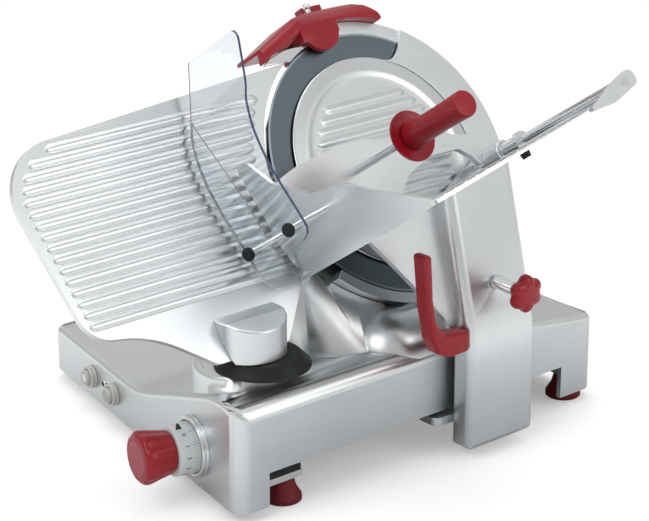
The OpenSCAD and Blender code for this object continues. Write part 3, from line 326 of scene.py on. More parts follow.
def cast_satin(name, colour, rough=0.36):
    """Satin casting: a fine grain in relief, with slow changes of tone and gloss."""
    paint = Paint(name, Metallic=1.0)
    place = paint.coords()
    grain = paint.noise(place, 1400.0, 2.0)
    cloud = paint.noise(place, 7.0, 3.0)
    dark = tuple(c * 0.90 for c in colour)
    paint.set("Base Color", paint.mixed(cloud.above(0.3, 0.4), dark, colour))
    paint.set("Roughness", cloud * 0.08 + grain * 0.05 + (rough - 0.065))
    paint.bump(grain, 0.18, 0.00004)
    return paint.mat


def ground_blade(name, colour):
    """Blade steel ground in circles about its axis, with a painted highlight along its narrow edge."""
    paint = Paint(name, Metallic=1.0)
    place = paint.coords((0.0, math.pi / 2 - LEAN, 0.0), tuple(BLADE))
    x, y, z = paint.split(place)
    radius = (x * x + y * y).sqrt()
    rings = paint.noise(paint.node("ShaderNodeCombineXYZ", {}, {0: radius * 900.0}), 1.0, 3.0)
    # Painted highlight: the narrow rim is painted lighter, standing for the light caught by the ground bevel.
    edge = radius.above(0.1476, 0.0004)
    rim_highlight = tuple(min(1.0, c * 2.6) for c in colour)
    paint.set("Base Color", paint.mixed(edge, colour, rim_highlight))
    paint.set("Roughness", rings * 0.12 + 0.26)
    paint.bump(rings, 0.12, 0.00003)
    return paint.mat


def moulded(name, colour, rough=0.28, coat=0.35, wear=0.18):
    """Moulded plastic: a faint orange peel and slow changes of gloss and tone."""
    paint = Paint(name, Metallic=0.0, Coat_Weight=coat, Coat_Roughness=0.12, Specular_IOR_Level=0.3)
    place = paint.coords()
    peel = paint.noise(place, 420.0, 2.0)
    cloud = paint.noise(place, 16.0, 3.0)
    pale = tuple(min(1.0, c * (1.0 + wear) + 0.003) for c in colour)
    paint.set("Base Color", paint.mixed(cloud.above(0.35, 0.4), colour, pale))
    paint.set("Roughness", cloud * 0.12 + peel * 0.05 + (rough - 0.08))
    paint.bump(peel, 0.10, 0.00008)
    return paint.mat


def dull(name, colour, rough=0.62, grain=600.0):
    """Rubber or matt plastic with a fine pebbled grain."""
    paint = Paint(name, Metallic=0.0, Specular_IOR_Level=0.22)
    place = paint.coords()
    pebble = paint.noise(place, grain, 3.0, 0.6)
    cloud = paint.noise(place, 20.0, 2.0)
    pale = tuple(c * 1.5 + 0.006 for c in colour)
    paint.set("Base Color", paint.mixed(cloud.above(0.4, 0.3), colour, pale))
    paint.set("Roughness", pebble * 0.15 + (rough - 0.07))
    paint.bump(pebble, 0.3, 0.0001)
    return paint.mat


def clear_sheet(name, tint):
    """Clear acrylic with faint smudges in its gloss."""
    paint = Paint(name, Metallic=0.0, Base_Color=tint, IOR=1.47, Transmission_Weight=1.0)
    smudge = paint.noise(paint.coords(), 14.0, 3.0)
    paint.set("Roughness", smudge.above(0.45, 0.4) * 0.05 + 0.01)
    return paint.mat


def sheet_edge(name, colour):
    """The clear sheet's sawn edge painted opaque in the given colour, with a sawn grain; the colour stands
    for light bent through the edge, dark colours as painted shade and pale ones as a painted highlight.
    """
    paint = Paint(name, Metallic=0.0, Coat_Weight=0.5, Coat_Roughness=0.1)
    saw = paint.noise(paint.coords(scale=(500.0, 500.0, 500.0)), 1.0, 2.0)
    pale = tuple(c * 2.2 + 0.02 for c in colour)
    paint.set("Base Color", paint.mixed(saw.above(0.35, 0.4), colour, pale))
    paint.set("Roughness", saw * 0.2 + 0.2)
    return paint.mat


def axes_turn(axis_x, axis_y):
    """Euler turn whose X and Y run along the two given directions."""
    x = Vector(axis_x).normalized()
    y = Vector(axis_y)
    z = x.cross(y).normalized()
    y = z.cross(x)
    return tuple(Matrix((x, y, z)).transposed().to_euler("XYZ"))


def mesh_object(name, verts, faces, material, smooth=True):
    """A mesh object at the origin from arrays of points and faces."""
    mesh = bpy.data.meshes.new(name)
    mesh.from_pydata(np.asarray(verts, float).reshape(-1, 3).tolist(), [], [list(map(int, f)) for f in faces])
    mesh.validate()
    made = bmesh.new()
    made.from_mesh(mesh)
    bmesh.ops.remove_doubles(made, verts=made.verts, dist=1e-7)
    bmesh.ops.dissolve_degenerate(made, edges=made.edges, dist=1e-8)
    bmesh.ops.recalc_face_normals(made, faces=made.faces)
    made.to_mesh(mesh)
    made.free()
    mesh.polygons.foreach_set("use_smooth", np.full(len(mesh.polygons), smooth))
    mesh.materials.append(material)
    obj = bpy.data.objects.new(name, mesh)
    bpy.context.collection.objects.link(obj)
    return obj


def grid_faces(rows, cols, wrap=True):
    """Quads between neighbouring rows and columns, wrapping the columns round."""
    i, j = np.meshgrid(np.arange(rows - 1), np.arange(cols if wrap else cols - 1), indexing="ij")
    k = (j + 1) % cols
    quads = np.stack([i * cols + j, i * cols + k, (i + 1) * cols + k, (i + 1) * cols + j], axis=-1)
    return quads.reshape(-1, 4)


def turned(name, centre, axis, side, profile, material, count=96, lobe=None):
    """Surface of revolution: radius r(s) at height h(s), turned by t; lobe(t, s) scales the radius."""
    centre, axis = np.asarray(centre, float), np.asarray(axis, float)
    axis = axis / np.linalg.norm(axis)
    u = np.asarray(side, float) - axis * np.dot(side, axis)
    u = u / np.linalg.norm(u)
    v = np.cross(axis, u)
    profile = np.asarray(profile, float)
    t = np.linspace(0.0, 2 * math.pi, count, endpoint=False)[None, :]
    s = np.linspace(0.0, 1.0, len(profile))[:, None]
    r = profile[:, 0][:, None] * (np.ones_like(t) if lobe is None else lobe(t, s))
    h = profile[:, 1][:, None]
    ray = np.cos(t)[..., None] * u + np.sin(t)[..., None] * v
    points = centre + r[..., None] * ray + h[..., None] * axis
    return mesh_object(name, points, grid_faces(len(profile), count), material)


def smooth_line(points, steps):
    """Cubic spline through the points, the same number of steps between each pair."""
    p = np.asarray(points, float)
    p = np.vstack([2 * p[0] - p[1], p, 2 * p[-1] - p[-2]])
    out = []
    for i in range(1, len(p) - 2):
        t = np.linspace(0.0, 1.0, steps, endpoint=False)[:, None]
        a, b, c, d = p[i - 1], p[i], p[i + 1], p[i + 2]
        bend = (2 * a - 5 * b + 4 * c - d) * t**2
        out.append(0.5 * (2 * b + (c - a) * t + bend + (3 * b - a - 3 * c + d) * t**3))
    return np.vstack(out + [p[-2][None, :]])


def clothe(obj, material):
    """Gives a CAD node or a piece one material."""
    obj.data.materials.clear()
    obj.data.materials.append(material)


def softened(node, body, width, material, angle=32.0, blend=None):
    """A copy of a CAD node, merged and with its edges rounded, that stands for the node."""
    source = frame["nodes"][node]
    mesh = bpy.data.meshes.new(node + "_soft")
    made = bmesh.new()
    made.from_mesh(source.data)
    bmesh.ops.remove_doubles(made, verts=made.verts, dist=2e-6)
    bmesh.ops.dissolve_limit(made, angle_limit=math.radians(0.6), verts=made.verts, edges=made.edges)
    made.to_mesh(mesh)
    made.free()
    mesh.materials.append(material)
    obj = bpy.data.objects.new(node + "_soft", mesh)
    bpy.context.collection.objects.link(obj)
    bevel = obj.modifiers.new("edges", "BEVEL")
    bevel.width = width
    bevel.segments = 3
    bevel.limit_method = "ANGLE"
    bevel.angle_limit = math.radians(angle)
    bevel.use_clamp_overlap = True
    bpy.context.view_layer.objects.active = obj
    obj.select_set(True)
    bpy.ops.object.shade_smooth_by_angle(angle=math.radians(blend or angle), keep_sharp_edges=False)
    obj.select_set(False)
    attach(obj, body)
    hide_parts(node)
    return obj


def weigh_rim(shell):
    """Rounds only the rim between the base's outer walls and its top, and its upright corners."""
    mesh = shell.data
    made = bmesh.new()
    made.from_mesh(mesh)
    made.edges.ensure_lookup_table()
    points = np.array([v.co for v in made.verts])
    lo, hi = points.min(axis=0), points.max(axis=0)
    weights = np.zeros(len(made.edges), np.float32)
    # How far up the rim starts, how near an outer wall it lies, and how near a corner an upright edge lies.
    rim_from, near_wall, near_corner = 0.045, 0.02, 0.004
    steep, flat = 0.2, 0.5
    for edge in made.edges:
        if len(edge.link_faces) != 2 or not edge.is_convex:
            continue
        a, b = (f.normal.z for f in edge.link_faces)
        if edge.calc_face_angle(0.0) < math.radians(25) or edge.verts[0].co.z < lo[2] + rim_from:
            continue
        wall, top = sorted((a, b), key=abs)
        middle = (edge.verts[0].co + edge.verts[1].co) / 2
        if abs(wall) < steep and top > flat:
            outside = min(middle.x - lo[0], hi[0] - middle.x, hi[1] - middle.y)
            face = CORNER[1] - math.tan(FACE_TURN) * (middle.x - CORNER[0])
            if outside < near_wall or abs(middle.y - face) < near_wall:
                weights[edge.index] = 1.0
        elif abs(a) < steep and abs(b) < steep and edge.calc_length() > near_wall:
            if min(middle.x - lo[0], hi[0] - middle.x) < near_corner and hi[1] - middle.y < near_corner:
                weights[edge.index] = 1.0
    made.free()
    layer = mesh.attributes.new("bevel_weight_edge", "FLOAT", "EDGE")
    layer.data.foreach_set("value", weights)
    rim = shell.modifiers["edges"]
    rim.limit_method = "WEIGHT"
    rim.segments = 6
    rim.use_clamp_overlap = False


BODY_OF = {node: body for body, nodes in frame["record"]["behaviour"]["bodies"].items() for node in nodes}
paints = {}


def paint_table(finish):
    """Makes every finish once."""
    y_axis, z_axis = (0, 1, 0), (0, 0, 1)
    plate_x, plate_y = (0, 1, 0), (-math.sin(LEAN), 0, math.cos(LEAN))
    normal = (math.cos(LEAN), 0, math.sin(LEAN))
    floor_f = tuple(at_tray(1, 0, 0) - at_tray(0, 0, 0))
    casting, steel = tuple(finish.casting), tuple(finish.steel)
    level = axes_turn(y_axis, z_axis)
    on_plate = axes_turn(plate_x, plate_y)
    lines = finish.grain
    paints.update(
        casting=brushed("Satin casting", casting, level, rough=0.36, lines=lines),
        upright=brushed("Brushed column", casting, axes_turn(z_axis, y_axis), rough=0.34, lines=lines),
        plate=brushed("Brushed gauge plate", casting, on_plate, rough=0.33, lines=lines),
        sheet=brushed("Brushed tray", casting, axes_turn(normal, floor_f), rough=0.32, lines=lines),
        plain=cast_satin("Cast parts", casting),
        # The blade head gets a darker copy of the casting: painted shade for the dark reflection in its dome.
        head=cast_satin("Blade head casting with painted shade", tuple(c * 0.86 for c in casting), 0.34),
        steel=brushed("Bright steel", steel, level, rough=0.18, spread=0.06, lines=lines),
        blade=ground_blade("Blade steel", tuple(finish.blade)),
        iron=cast_satin("Dark steel", (0.22, 0.24, 0.26), 0.42),
        red=moulded("Red plastic", tuple(finish.red), 0.30, 0.12),
        foot=dull("Red rubber", (0.12, 0.008, 0.012), 0.5),
        black=dull("Black rubber", tuple(finish.black), 0.48),
        white=moulded("White plastic", (0.74, 0.75, 0.74), 0.3, 0.3, 0.04),
        grey=moulded("Grey plastic", (0.40, 0.41, 0.40), 0.34, 0.2, 0.06),
        boot=moulded("Pale boot", (0.50, 0.50, 0.47), 0.40, 0.15, 0.08),
        pink=moulded("Knob disc", (0.30, 0.030, 0.045), 0.36, 0.15, 0.10),
        ink=dull("Printed ink", (0.016, 0.016, 0.018), 0.55, 900.0),
        cover=brushed("Blade cover", casting, on_plate, rough=0.30, lines=lines),
        turned=brushed("Turned collar", steel, axes_turn(z_axis, y_axis), rough=0.26, lines=lines),
        # The side panel's clear edge painted opaque pale grey: a painted highlight.
        bright_edge=sheet_edge("Edge painted highlight", (0.34, 0.37, 0.40)),
        clear=clear_sheet("Clear guard", tuple(finish.clear)),
        # The guard's clear edge painted opaque dark blue: its blue is the sheet's tint gathered edge-on, its
        # darkness is painted shade.
        edge=sheet_edge("Guard edge tint and painted shade", (0.012, 0.022, 0.07)),
        bronze=brushed("Bronze", (0.55, 0.36, 0.16), level, rough=0.35, lines=lines),
        stone=dull("Whetstone", (0.16, 0.15, 0.14), 0.85, 1500.0),
    )


NODE_PAINT = {
    "base_casting": "casting", "blade_head": "head", "rod_brackets": "iron", "bottom_plate": "plain",
    "foot_plates": "steel", "foot_spacers": "black",
    "foot_front_right": "foot", "foot_front_left": "foot",
    "foot_rear_right": "foot", "foot_rear_left": "foot",
    "cable_gland": "black", "start_bezel": "steel", "stop_bezel": "steel", "pilot_light": "steel",
    "index_ring": "steel", "knob_bush": "bronze", "gauge_guide_rod": "steel", "carriage_rod": "steel",
    "roller_rail": "steel", "bearing_front": "iron", "bearing_rear": "iron", "ring_guard": "plate",
    "blade_cover": "plate", "slice_deflector": "plain", "sharpener_bracket": "steel", "sharpener_hood": "red",
    "sharpener_stones": "stone", "start_button": "white", "stop_button": "steel", "thickness_knob": "red",
    "thickness_dial": "white", "knob_shaft": "steel", "gauge_plate": "plate", "gauge_pod": "plain",
    "gauge_seal": "black", "gauge_slider": "plain", "blade": "blade", "blade_hub": "iron",
    "sharpener_lever": "red", "sharpener_pin": "steel", "carriage_foot": "plain", "carriage_bushes": "bronze",
    "column": "upright", "grip_handle": "red", "tray": "sheet", "guide_rod": "steel",
    "guide_rod_screw": "steel", "tray_bumper": "black", "hand_guard": "clear", "guard_studs": "steel",
    "guard_caps": "black", "roller": "iron", "star_knob": "red", "pusher_sleeve": "steel",
    "pusher_hub": "plate",
    "pusher_plate": "plate", "pusher_rod": "steel", "hand_shield": "red", "pusher_handle": "red",
}  # fmt: skip


class SLICER_OT_view(Operator):
    """Set the camera where the photograph was taken"""

    bl_idname = "slicer.view"
    bl_label = "Photograph's view"

    def execute(self, context):
        view = context.scene.slicer_view
        camera = bpy.data.objects.new("Camera", bpy.data.cameras.new("Camera"))
        context.collection.objects.link(camera)
        # The two directions were solved from the photograph's straight edges.
        forward = Vector((-0.71359, 0.60466, -0.35380)).normalized()
        right = Vector((0.64675, 0.76270, 0.0)).normalized()
        up = right.cross(forward)
        turn = Matrix((right, up, -forward)).transposed().to_4x4()
        camera.matrix_world = Matrix.Translation(Vector(CORNER) + Vector(view.place)) @ turn
        camera.data.lens = view.lens
        camera.data.sensor_fit = "HORIZONTAL"
        camera.data.sensor_width = 36.0
        camera.data.clip_start = 0.05
        context.scene.camera = camera
        return {"FINISHED"}


class SLICER_OT_finishes(Operator):
    """Give every part of the frame its finish"""

    bl_idname = "slicer.finishes"
    bl_label = "Finishes"

    def execute(self, context):
        paint_table(context.scene.slicer_finish)
        for node, obj in frame["nodes"].items():
            clothe(obj, paints[NODE_PAINT[node]])
        return {"FINISHED"}


class SLICER_OT_castings(Operator):
    """Round the edges of the castings, plates and handles"""

    bl_idname = "slicer.castings"
    bl_label = "Castings"

    def execute(self, context):
        edge = context.scene.slicer_fittings.edge
        shares = {
            "column": 2.4, "gauge_pod": 1.8, "tray": 0.8, "pusher_plate": 1.4, "pusher_hub": 0.7,
            "ring_guard": 1.0, "grip_handle": 2.4, "sharpener_bracket": 0.5, "gauge_seal": 0.5,
            "carriage_foot": 1.0, "sharpener_lever": 1.0,
        }  # fmt: skip
        for node, share in shares.items():
            softened(node, BODY_OF[node], edge * share, paints[NODE_PAINT[node]])
        softened("blade_head", "base", edge * 3.0, paints["head"], 55.0)
        softened("sharpener_hood", "base", edge * 1.6, paints["red"], 40.0, 62.0)
        shell = softened("base_casting", "base", edge * 4.0, paints["casting"])
        weigh_rim(shell)
        return {"FINISHED"}


def rounded(points, radii, steps=8):
    """Outline with each corner swapped for an arc of its radius."""
    points = [np.asarray(p, float) for p in points]
    out = []
    for i, b in enumerate(points):
        if radii[i] <= 0:
            out.append(b[None, :])
            continue
        u = points[i - 1] - b
        v = points[(i + 1) % len(points)] - b
        u, v = u / np.linalg.norm(u), v / np.linalg.norm(v)
        half = math.acos(float(np.clip(u @ v, -1, 1))) / 2
        middle = b + (u + v) / np.linalg.norm(u + v) * (radii[i] / math.sin(half))
        p = b + u * (radii[i] / math.tan(half)) - middle
        q = b + v * (radii[i] / math.tan(half)) - middle
        w = np.linspace(0.0, 1.0, steps + 1)[:, None]
        ray = p * (1 - w) + q * w
        out.append(middle + radii[i] * ray / np.linalg.norm(ray, axis=1, keepdims=True))
    return np.vstack(out)


def slab(name, outline, near, far, place, material, rim=None):
    """A flat plate: an outline carried from near to far along the third axis of place."""
    outline = np.asarray(outline, float)
    count = len(outline)
    across, up = outline.T
    verts = np.vstack([place(across, up, near), place(across, up, far)])
    k = np.arange(count)
    sides = np.stack([k, (k + 1) % count, (k + 1) % count + count, k + count], axis=-1)
    faces = [k[::-1].tolist(), (k + count).tolist()] + sides.tolist()
    obj = mesh_object(name, verts, faces, material, smooth=False)
    if rim:
        obj.data.materials.append(rim)
        obj.data.polygons.foreach_set("material_index", np.array([0, 0] + [1] * count, np.int32))
    return obj


def soft_bars(name, starts, ends, across, width, height, floor, place, material, sunk=0.0003):
    """Parallel ribs: each section is a raised cosine, shrinking to a round nose at both ends."""
    starts, ends, across = (np.asarray(a, float) for a in (starts, ends, across))
    nose = width * 0.75
    t = np.concatenate([1 - np.cos(np.linspace(0, math.pi / 2, 9)), [1.0]])[None, :] * nose
    long_mid = np.linspace(0, 1, 14)[None, 1:-1]
    length = (ends - starts)[:, None]
    t = np.broadcast_to(t, (len(starts), t.shape[1]))
    u = np.hstack([t, nose + long_mid * (length - 2 * nose), length - t[:, ::-1]])
    inset = np.minimum(np.minimum(u, length - u), nose)
    share = np.sqrt(np.clip(1 - ((nose - inset) / nose) ** 2, 0, 1))
    v = np.linspace(-1, 1, 13)
    side = np.concatenate([v, v[::-1][1:-1:4]])
    bell = (0.5 + 0.5 * np.cos(v * math.pi)) ** 0.8
    rise = np.concatenate([bell, np.full(len(side) - len(v), -sunk / height)])
    x = (starts[:, None] + u)[:, :, None] + 0 * side
    y = across[:, None, None] + share[:, :, None] * side * width / 2
    n = floor + share[:, :, None] * rise * height
    verts = place(x, y, n).reshape(-1, 3)
    one = grid_faces(u.shape[1], len(side))
    step = np.arange(len(starts)) * u.shape[1] * len(side)
    faces = (one[None, :, :] + step[:, None, None]).reshape(-1, 4)
    return mesh_object(name, verts, faces, material)


def dial_paint(name, centre, marks):
    """White moulded dial with dark lines near its inner edge, every fifth one longer."""
    paint = Paint(name, Metallic=0.0, Coat_Weight=0.4, Coat_Roughness=0.1)
    _, right, up, _ = at_face(0, 0)
    x, y, z = paint.split(paint.coords(axes_turn(right, up), centre))
    turn = y.arctan(x) * (1.0 / math.tau)
    start, short_end, long_end, soft = 0.0092, 0.0128, 0.0152, 0.0001
    fine = ((turn * marks).fraction() - 0.5).absolute()
    coarse = ((turn * (marks / 5)).fraction() - 0.5).absolute()
    line = fine.above(0.42, 0.02) * z.above(start, soft) * (1 - z.above(short_end, soft))
    long_line = coarse.above(0.482, 0.004) * z.above(start, soft) * (1 - z.above(long_end, soft))
    peel = paint.noise(paint.coords(), 300.0, 2.0)
    mark = (line + long_line).clamped()
    paint.set("Base Color", paint.mixed(mark * 0.92, (0.60, 0.62, 0.63), (0.02, 0.02, 0.022)))
    paint.set("Roughness", peel * 0.08 + 0.26)
    paint.bump(peel - mark * 0.4, 0.12, 0.00008)
    return paint.mat


def on_dial(centre, radius):
    """Places (turn angle, height out of the face, lift off the dial) on the dial's barrel."""
    _, right, up, out = at_face(0, 0)

    def place(angle, high_up, lift):
        angle, high_up, lift = np.broadcast_arrays(angle, high_up, lift)
        r = (radius + lift)[..., None]
        ray = np.cos(angle)[..., None] * right + np.sin(angle)[..., None] * up
        return centre + r * ray + high_up[..., None] * out

    return place


class SLICER_OT_controls(Operator):
    """Make the fluted knob, the numbered dial, its ring and the push buttons"""

    bl_idname = "slicer.controls"
    bl_label = "Controls"

    def execute(self, context):
        fittings = context.scene.slicer_fittings
        centre, right, up, out = at_face(*KNOB_SPOT)

        def flutes(t, s):
            depth = np.clip(np.sin(math.pi * np.clip(s * 1.5 - 0.15, 0, 1)), 0, 1)
            return 1 - 0.075 * (0.5 + 0.5 * np.cos(8 * t)) ** 2 * depth

        knob = [(0, 0.0306), (0.0212, 0.0306), (0.0224, 0.0310), (0.0230, 0.0320), (0.0236, 0.0350),
                (0.0246, 0.0400), (0.0260, 0.0470), (0.0274, 0.0530), (0.0284, 0.0580), (0.0287, 0.0610),
                (0.0284, 0.0632), (0.0274, 0.0650), (0.0258, 0.0665), (0.0236, 0.0675), (0.0214, 0.0679),
                (0.0206, 0.0678), (0.0203, 0.0675), (0, 0.0675)]
        piece = turned("knob_body", centre, out, right, knob, paints["red"], 192, flutes)
        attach(piece, "thickness_control")
        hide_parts("thickness_knob")
        disc = [(0, 0.0673), (0.0198, 0.0673), (0.0201, 0.0677), (0.0197, 0.0679), (0.0160, 0.0678),
                (0, 0.0678)]
        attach(turned("knob_disc", centre, out, right, disc, paints["pink"]), "thickness_control")
        barrel = [(0, 0.0046), (0.0276, 0.0046), (0.0279, 0.0050), (0.0279, 0.0090), (0.0274, 0.0200),
                  (0.0269, 0.0290), (0.0266, 0.0300), (0.0258, 0.0303), (0, 0.0303)]
        marked = dial_paint("Marked dial", tuple(centre), fittings.dial_marks)
        dial = turned("dial_barrel", centre, out, right, barrel, marked, 144)
        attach(dial, "thickness_control")
        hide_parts("thickness_dial")
        place = on_dial(centre, fittings.dial_r)
        first_angle, pitch, row = 56, 27, 0.0185
        digit_size, ink_rise = 0.0062, 0.00035
        verts, faces = [], []
        for number in range(11):
            curve = bpy.data.curves.new("digit", "FONT")
            curve.body = str(number)
            curve.size = digit_size
            curve.extrude = ink_rise
            curve.resolution_u = 3
            curve.align_x = "CENTER"
            text = bpy.data.objects.new("digit", curve)
            context.collection.objects.link(text)
            context.view_layer.update()
            graph = context.evaluated_depsgraph_get()
            mesh = bpy.data.meshes.new_from_object(text.evaluated_get(graph))
            flat = np.empty(len(mesh.vertices) * 3)
            mesh.vertices.foreach_get("co", flat)
            flat = flat.reshape(-1, 3)
            angle = math.radians(first_angle - pitch * number)
            start = sum(len(v) for v in verts)
            verts.append(place(angle - flat[:, 0] / fittings.dial_r, row + flat[:, 1], flat[:, 2]))
            faces += [[start + i for i in polygon.vertices] for polygon in mesh.polygons]
            bpy.data.objects.remove(text)
            bpy.data.curves.remove(curve)
            bpy.data.meshes.remove(mesh)
        numbers = mesh_object("dial_numbers", np.vstack(verts), faces, paints["ink"], smooth=False)
        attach(numbers, "thickness_control")
        turn = np.linspace(0.0, 1.0, 13)
        upper = np.stack([turn, 0.0056 * turn**0.8 + 0.0004], axis=-1)
        lower = np.stack([turn[::-1], -0.0006 - 0 * turn], axis=-1)
        wedge = np.vstack([upper, lower])

        def side(a, h, lift):
            """Places the wedge on the dial, before the first number."""
            return place(math.radians(100) - a * math.radians(26), row + h + a * 0.0015, lift)

        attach(slab("dial_wedge", wedge, 0.0, 0.0006, side, paints["ink"]), "thickness_control")
        ring = [(0.0126, 0.0001), (0.0328, 0.0001), (0.0330, 0.0004), (0.0330, 0.0026), (0.0325, 0.0030),
                (0.0325, 0.0036), (0.0330, 0.0040), (0.0330, 0.0070), (0.0326, 0.0077), (0.0318, 0.0080),
                (0.0296, 0.0080), (0.0288, 0.0077), (0.0285, 0.0071), (0.0285, 0.0040), (0.0126, 0.0040),
                (0.0126, 0.0001)]
        piece = turned("index_collar", centre, out, right, ring, paints["turned"], 144)
        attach(piece, "base")
        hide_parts("index_ring")

        bezel = [(0.0090, 0.0001), (0.0127, 0.0001), (0.0130, 0.0006), (0.0129, 0.0018), (0.0122, 0.0022),
                 (0.0121, 0.0030), (0.0122, 0.0034), (0.0126, 0.0038), (0.0126, 0.0056), (0.0122, 0.0066),
                 (0.0112, 0.0070), (0.0098, 0.0070), (0.0091, 0.0066), (0.0090, 0.0060), (0.0090, 0.0001)]
        boot = [(0, -0.0040), (0.0085, -0.0040), (0.0085, 0.0090), (0.0083, 0.0104), (0.0077, 0.0115),
                (0.0070, 0.0119), (0.0063, 0.0117), (0.0059, 0.0110), (0.0058, 0.0104), (0, 0.0102)]
        lens = [(0, 0.0100), (0.0056, 0.0100), (0.0056, 0.0108), (0.0050, 0.0112), (0.0030, 0.0114),
                (0, 0.0115)]
        for x, z, kind, tone in BUTTON_SPOTS:
            spot = at_face(x, z)[0]
            collar = turned(kind + "_collar", spot, out, right, bezel, paints["boot"], 72)
            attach(collar, "base")
            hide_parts(kind + "_bezel")
            cap = turned(kind + "_boot", spot, out, right, boot, paints["boot"], 72)
            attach(cap, kind + "_push")
            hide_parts(kind + "_button")
            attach(turned(kind + "_lens", spot, out, right, lens, paints[tone], 48), kind + "_push")
        spot = at_face(*PILOT_SPOT)[0]
        lamp = [(0, -0.0030), (0.0021, -0.0030), (0.0021, 0.0001), (0.0045, 0.0001), (0.0045, 0.0010),
                (0.0041, 0.0019), (0.0034, 0.0022), (0.0028, 0.0018), (0.0026, 0.0010), (0, 0.0010)]
        piece = turned("pilot_socket", spot, out, right, lamp, paints["steel"], 48)
        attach(piece, "base")
        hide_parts("pilot_light")
        glass = [(0, 0.0008), (0.0031, 0.0008), (0.0032, 0.0021), (0.0026, 0.0023), (0.0012, 0.0022),
                 (0, 0.0022)]
        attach(turned("pilot_glass", spot, out, right, glass, paints["ink"], 36), "base")
        return {"FINISHED"}


class SLICER_OT_cutting_face(Operator):
    """Make the ribbed blade cover and the ribbed gauge plate"""

    bl_idname = "slicer.cutting_face"
    bl_label = "Cutting face"

    def execute(self, context):
        normal = at_blade(0, 0, 1) - at_blade(0, 0, 0)
        along = np.array([0.0, 1.0, 0.0])
        profile = [(0, 0.0011), (0.1200, 0.0011), (0.1209, 0.0015), (0.1209, 0.0024), (0.1200, 0.0031),
                   (0.1180, 0.0034), (0.1120, 0.0042), (0.1075, 0.0050), (0.1050, 0.0053),
                   (0.1030, 0.0053), (0.1005, 0.0048), (0.0985, 0.0043), (0.0960, 0.0041),
                   (0.0900, 0.0041), (0.0500, 0.0041), (0, 0.0041)]
        cover = turned("cover_disc", BLADE, normal, along, profile, paints["cover"], 216)
        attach(cover, "base")
        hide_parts("blade_cover")
        ribbed_r, rib_pitch, rib_w, rib_h, cover_top = 0.091, 0.0116, 0.0112, 0.0014, 0.0040
        rows = np.arange(-6, 7) * rib_pitch
        half = np.sqrt(ribbed_r**2 - rows**2)
        ribs = soft_bars("cover_ribs", -half, half, rows, rib_w, rib_h, cover_top, at_blade, paints["cover"])
        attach(ribs, "base")

        def polar(radius, degrees):
            """Point of the cutting face at a radius and an angle from the blade's axis."""
            return radius * np.array([math.cos(math.radians(degrees)), math.sin(math.radians(degrees))])

        cover_r, lip_r = 0.1205, 0.146
        bend = np.radians(np.linspace(58.0, 66.0, 12))
        inner = cover_r * np.stack([np.cos(bend), np.sin(bend)], axis=-1)
        ends = [polar(cover_r, 66), polar(cover_r, 59.2), polar(lip_r, 58)]
        w = np.linspace(0.0, 1.0, 14)[1:, None]
        curve = ends[0] * (1 - w) ** 2 + 2 * ends[1] * w * (1 - w) + ends[2] * w**2
        web = slab("lip_web", np.vstack([inner, curve]), 0.0022, 0.0040, at_blade, paints["plate"])
        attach(web, "base")

        shares = [(-0.145, 0.993), (-1.022, 0.785), (-0.94, -0.74), (-0.8, -0.79), (-0.655, -1.17),
                  (-0.458, -1.17), (-0.367, -0.77), (-0.302, -0.46), (-0.145, -0.46)]
        radii = np.array([0, 0.135, 0.08, 0.3, 0.03, 0.03, 0.1, 0, 0]) * PLATE_L
        outline = rounded([(a * PLATE_L, b * PLATE_H) for a, b in shares], radii, 12)

        def crossing(a, b):
            """Angle of the point between a and b that lies on the plate's edge round the blade."""
            line = a + (b - a) * np.linspace(0, 1, 400)[:, None]
            x, y = line[np.argmin(abs(np.hypot(line[:, 0], line[:, 1]) - PLATE_ARC))]
            return math.atan2(y, x) % math.tau

        far = np.hypot(outline[:, 0], outline[:, 1]) > PLATE_ARC
        first = int(np.argmax(far))
        last = len(outline) - 1 - int(np.argmax(far[::-1]))
        top = crossing(outline[first - 1], outline[first])
        bend = np.linspace(crossing(outline[last], outline[last + 1]), top, 60)
        outline = np.vstack([outline[far], PLATE_ARC * np.stack([np.cos(bend), np.sin(bend)], axis=-1)])
        outline[:, 0] = np.maximum(outline[:, 0], low("gauge_plate")[1] - BLADE[1])
        plate_t, plate_edge = 0.007, 0.0011
        plate = slab("gauge_sheet", outline, -plate_t, 0.0, at_blade, paints["plate"])
        edge = plate.modifiers.new("edges", "BEVEL")
        edge.width = plate_edge
        edge.segments = 3
        edge.limit_method = "ANGLE"
        edge.angle_limit = math.radians(40)
        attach(plate, "gauge")
        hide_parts("gauge_plate")
        rib_pitch, rib_w, rib_h, rib_root, rib_gap = 0.01235, 0.0118, 0.0018, -0.00002, 0.0120
        rows = PLATE_H * 0.75 - np.arange(16) * rib_pitch
        knee = PLATE_H * 0.33
        bend = np.sqrt(np.clip((PLATE_L * 0.125) ** 2 - (rows - knee) ** 2, 0, None))
        left = np.where(rows > knee, -PLATE_L * 0.872 - bend, -PLATE_L * 0.998 + (knee - rows) * 0.16)
        right = -np.sqrt((PLATE_ARC + rib_gap) ** 2 - rows**2)
        left = left + PLATE_L * 0.02
        ribs = soft_bars("gauge_ribs", left, right, rows, rib_w, rib_h, rib_root, at_blade, paints["plate"])
        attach(ribs, "gauge")
        return {"FINISHED"}


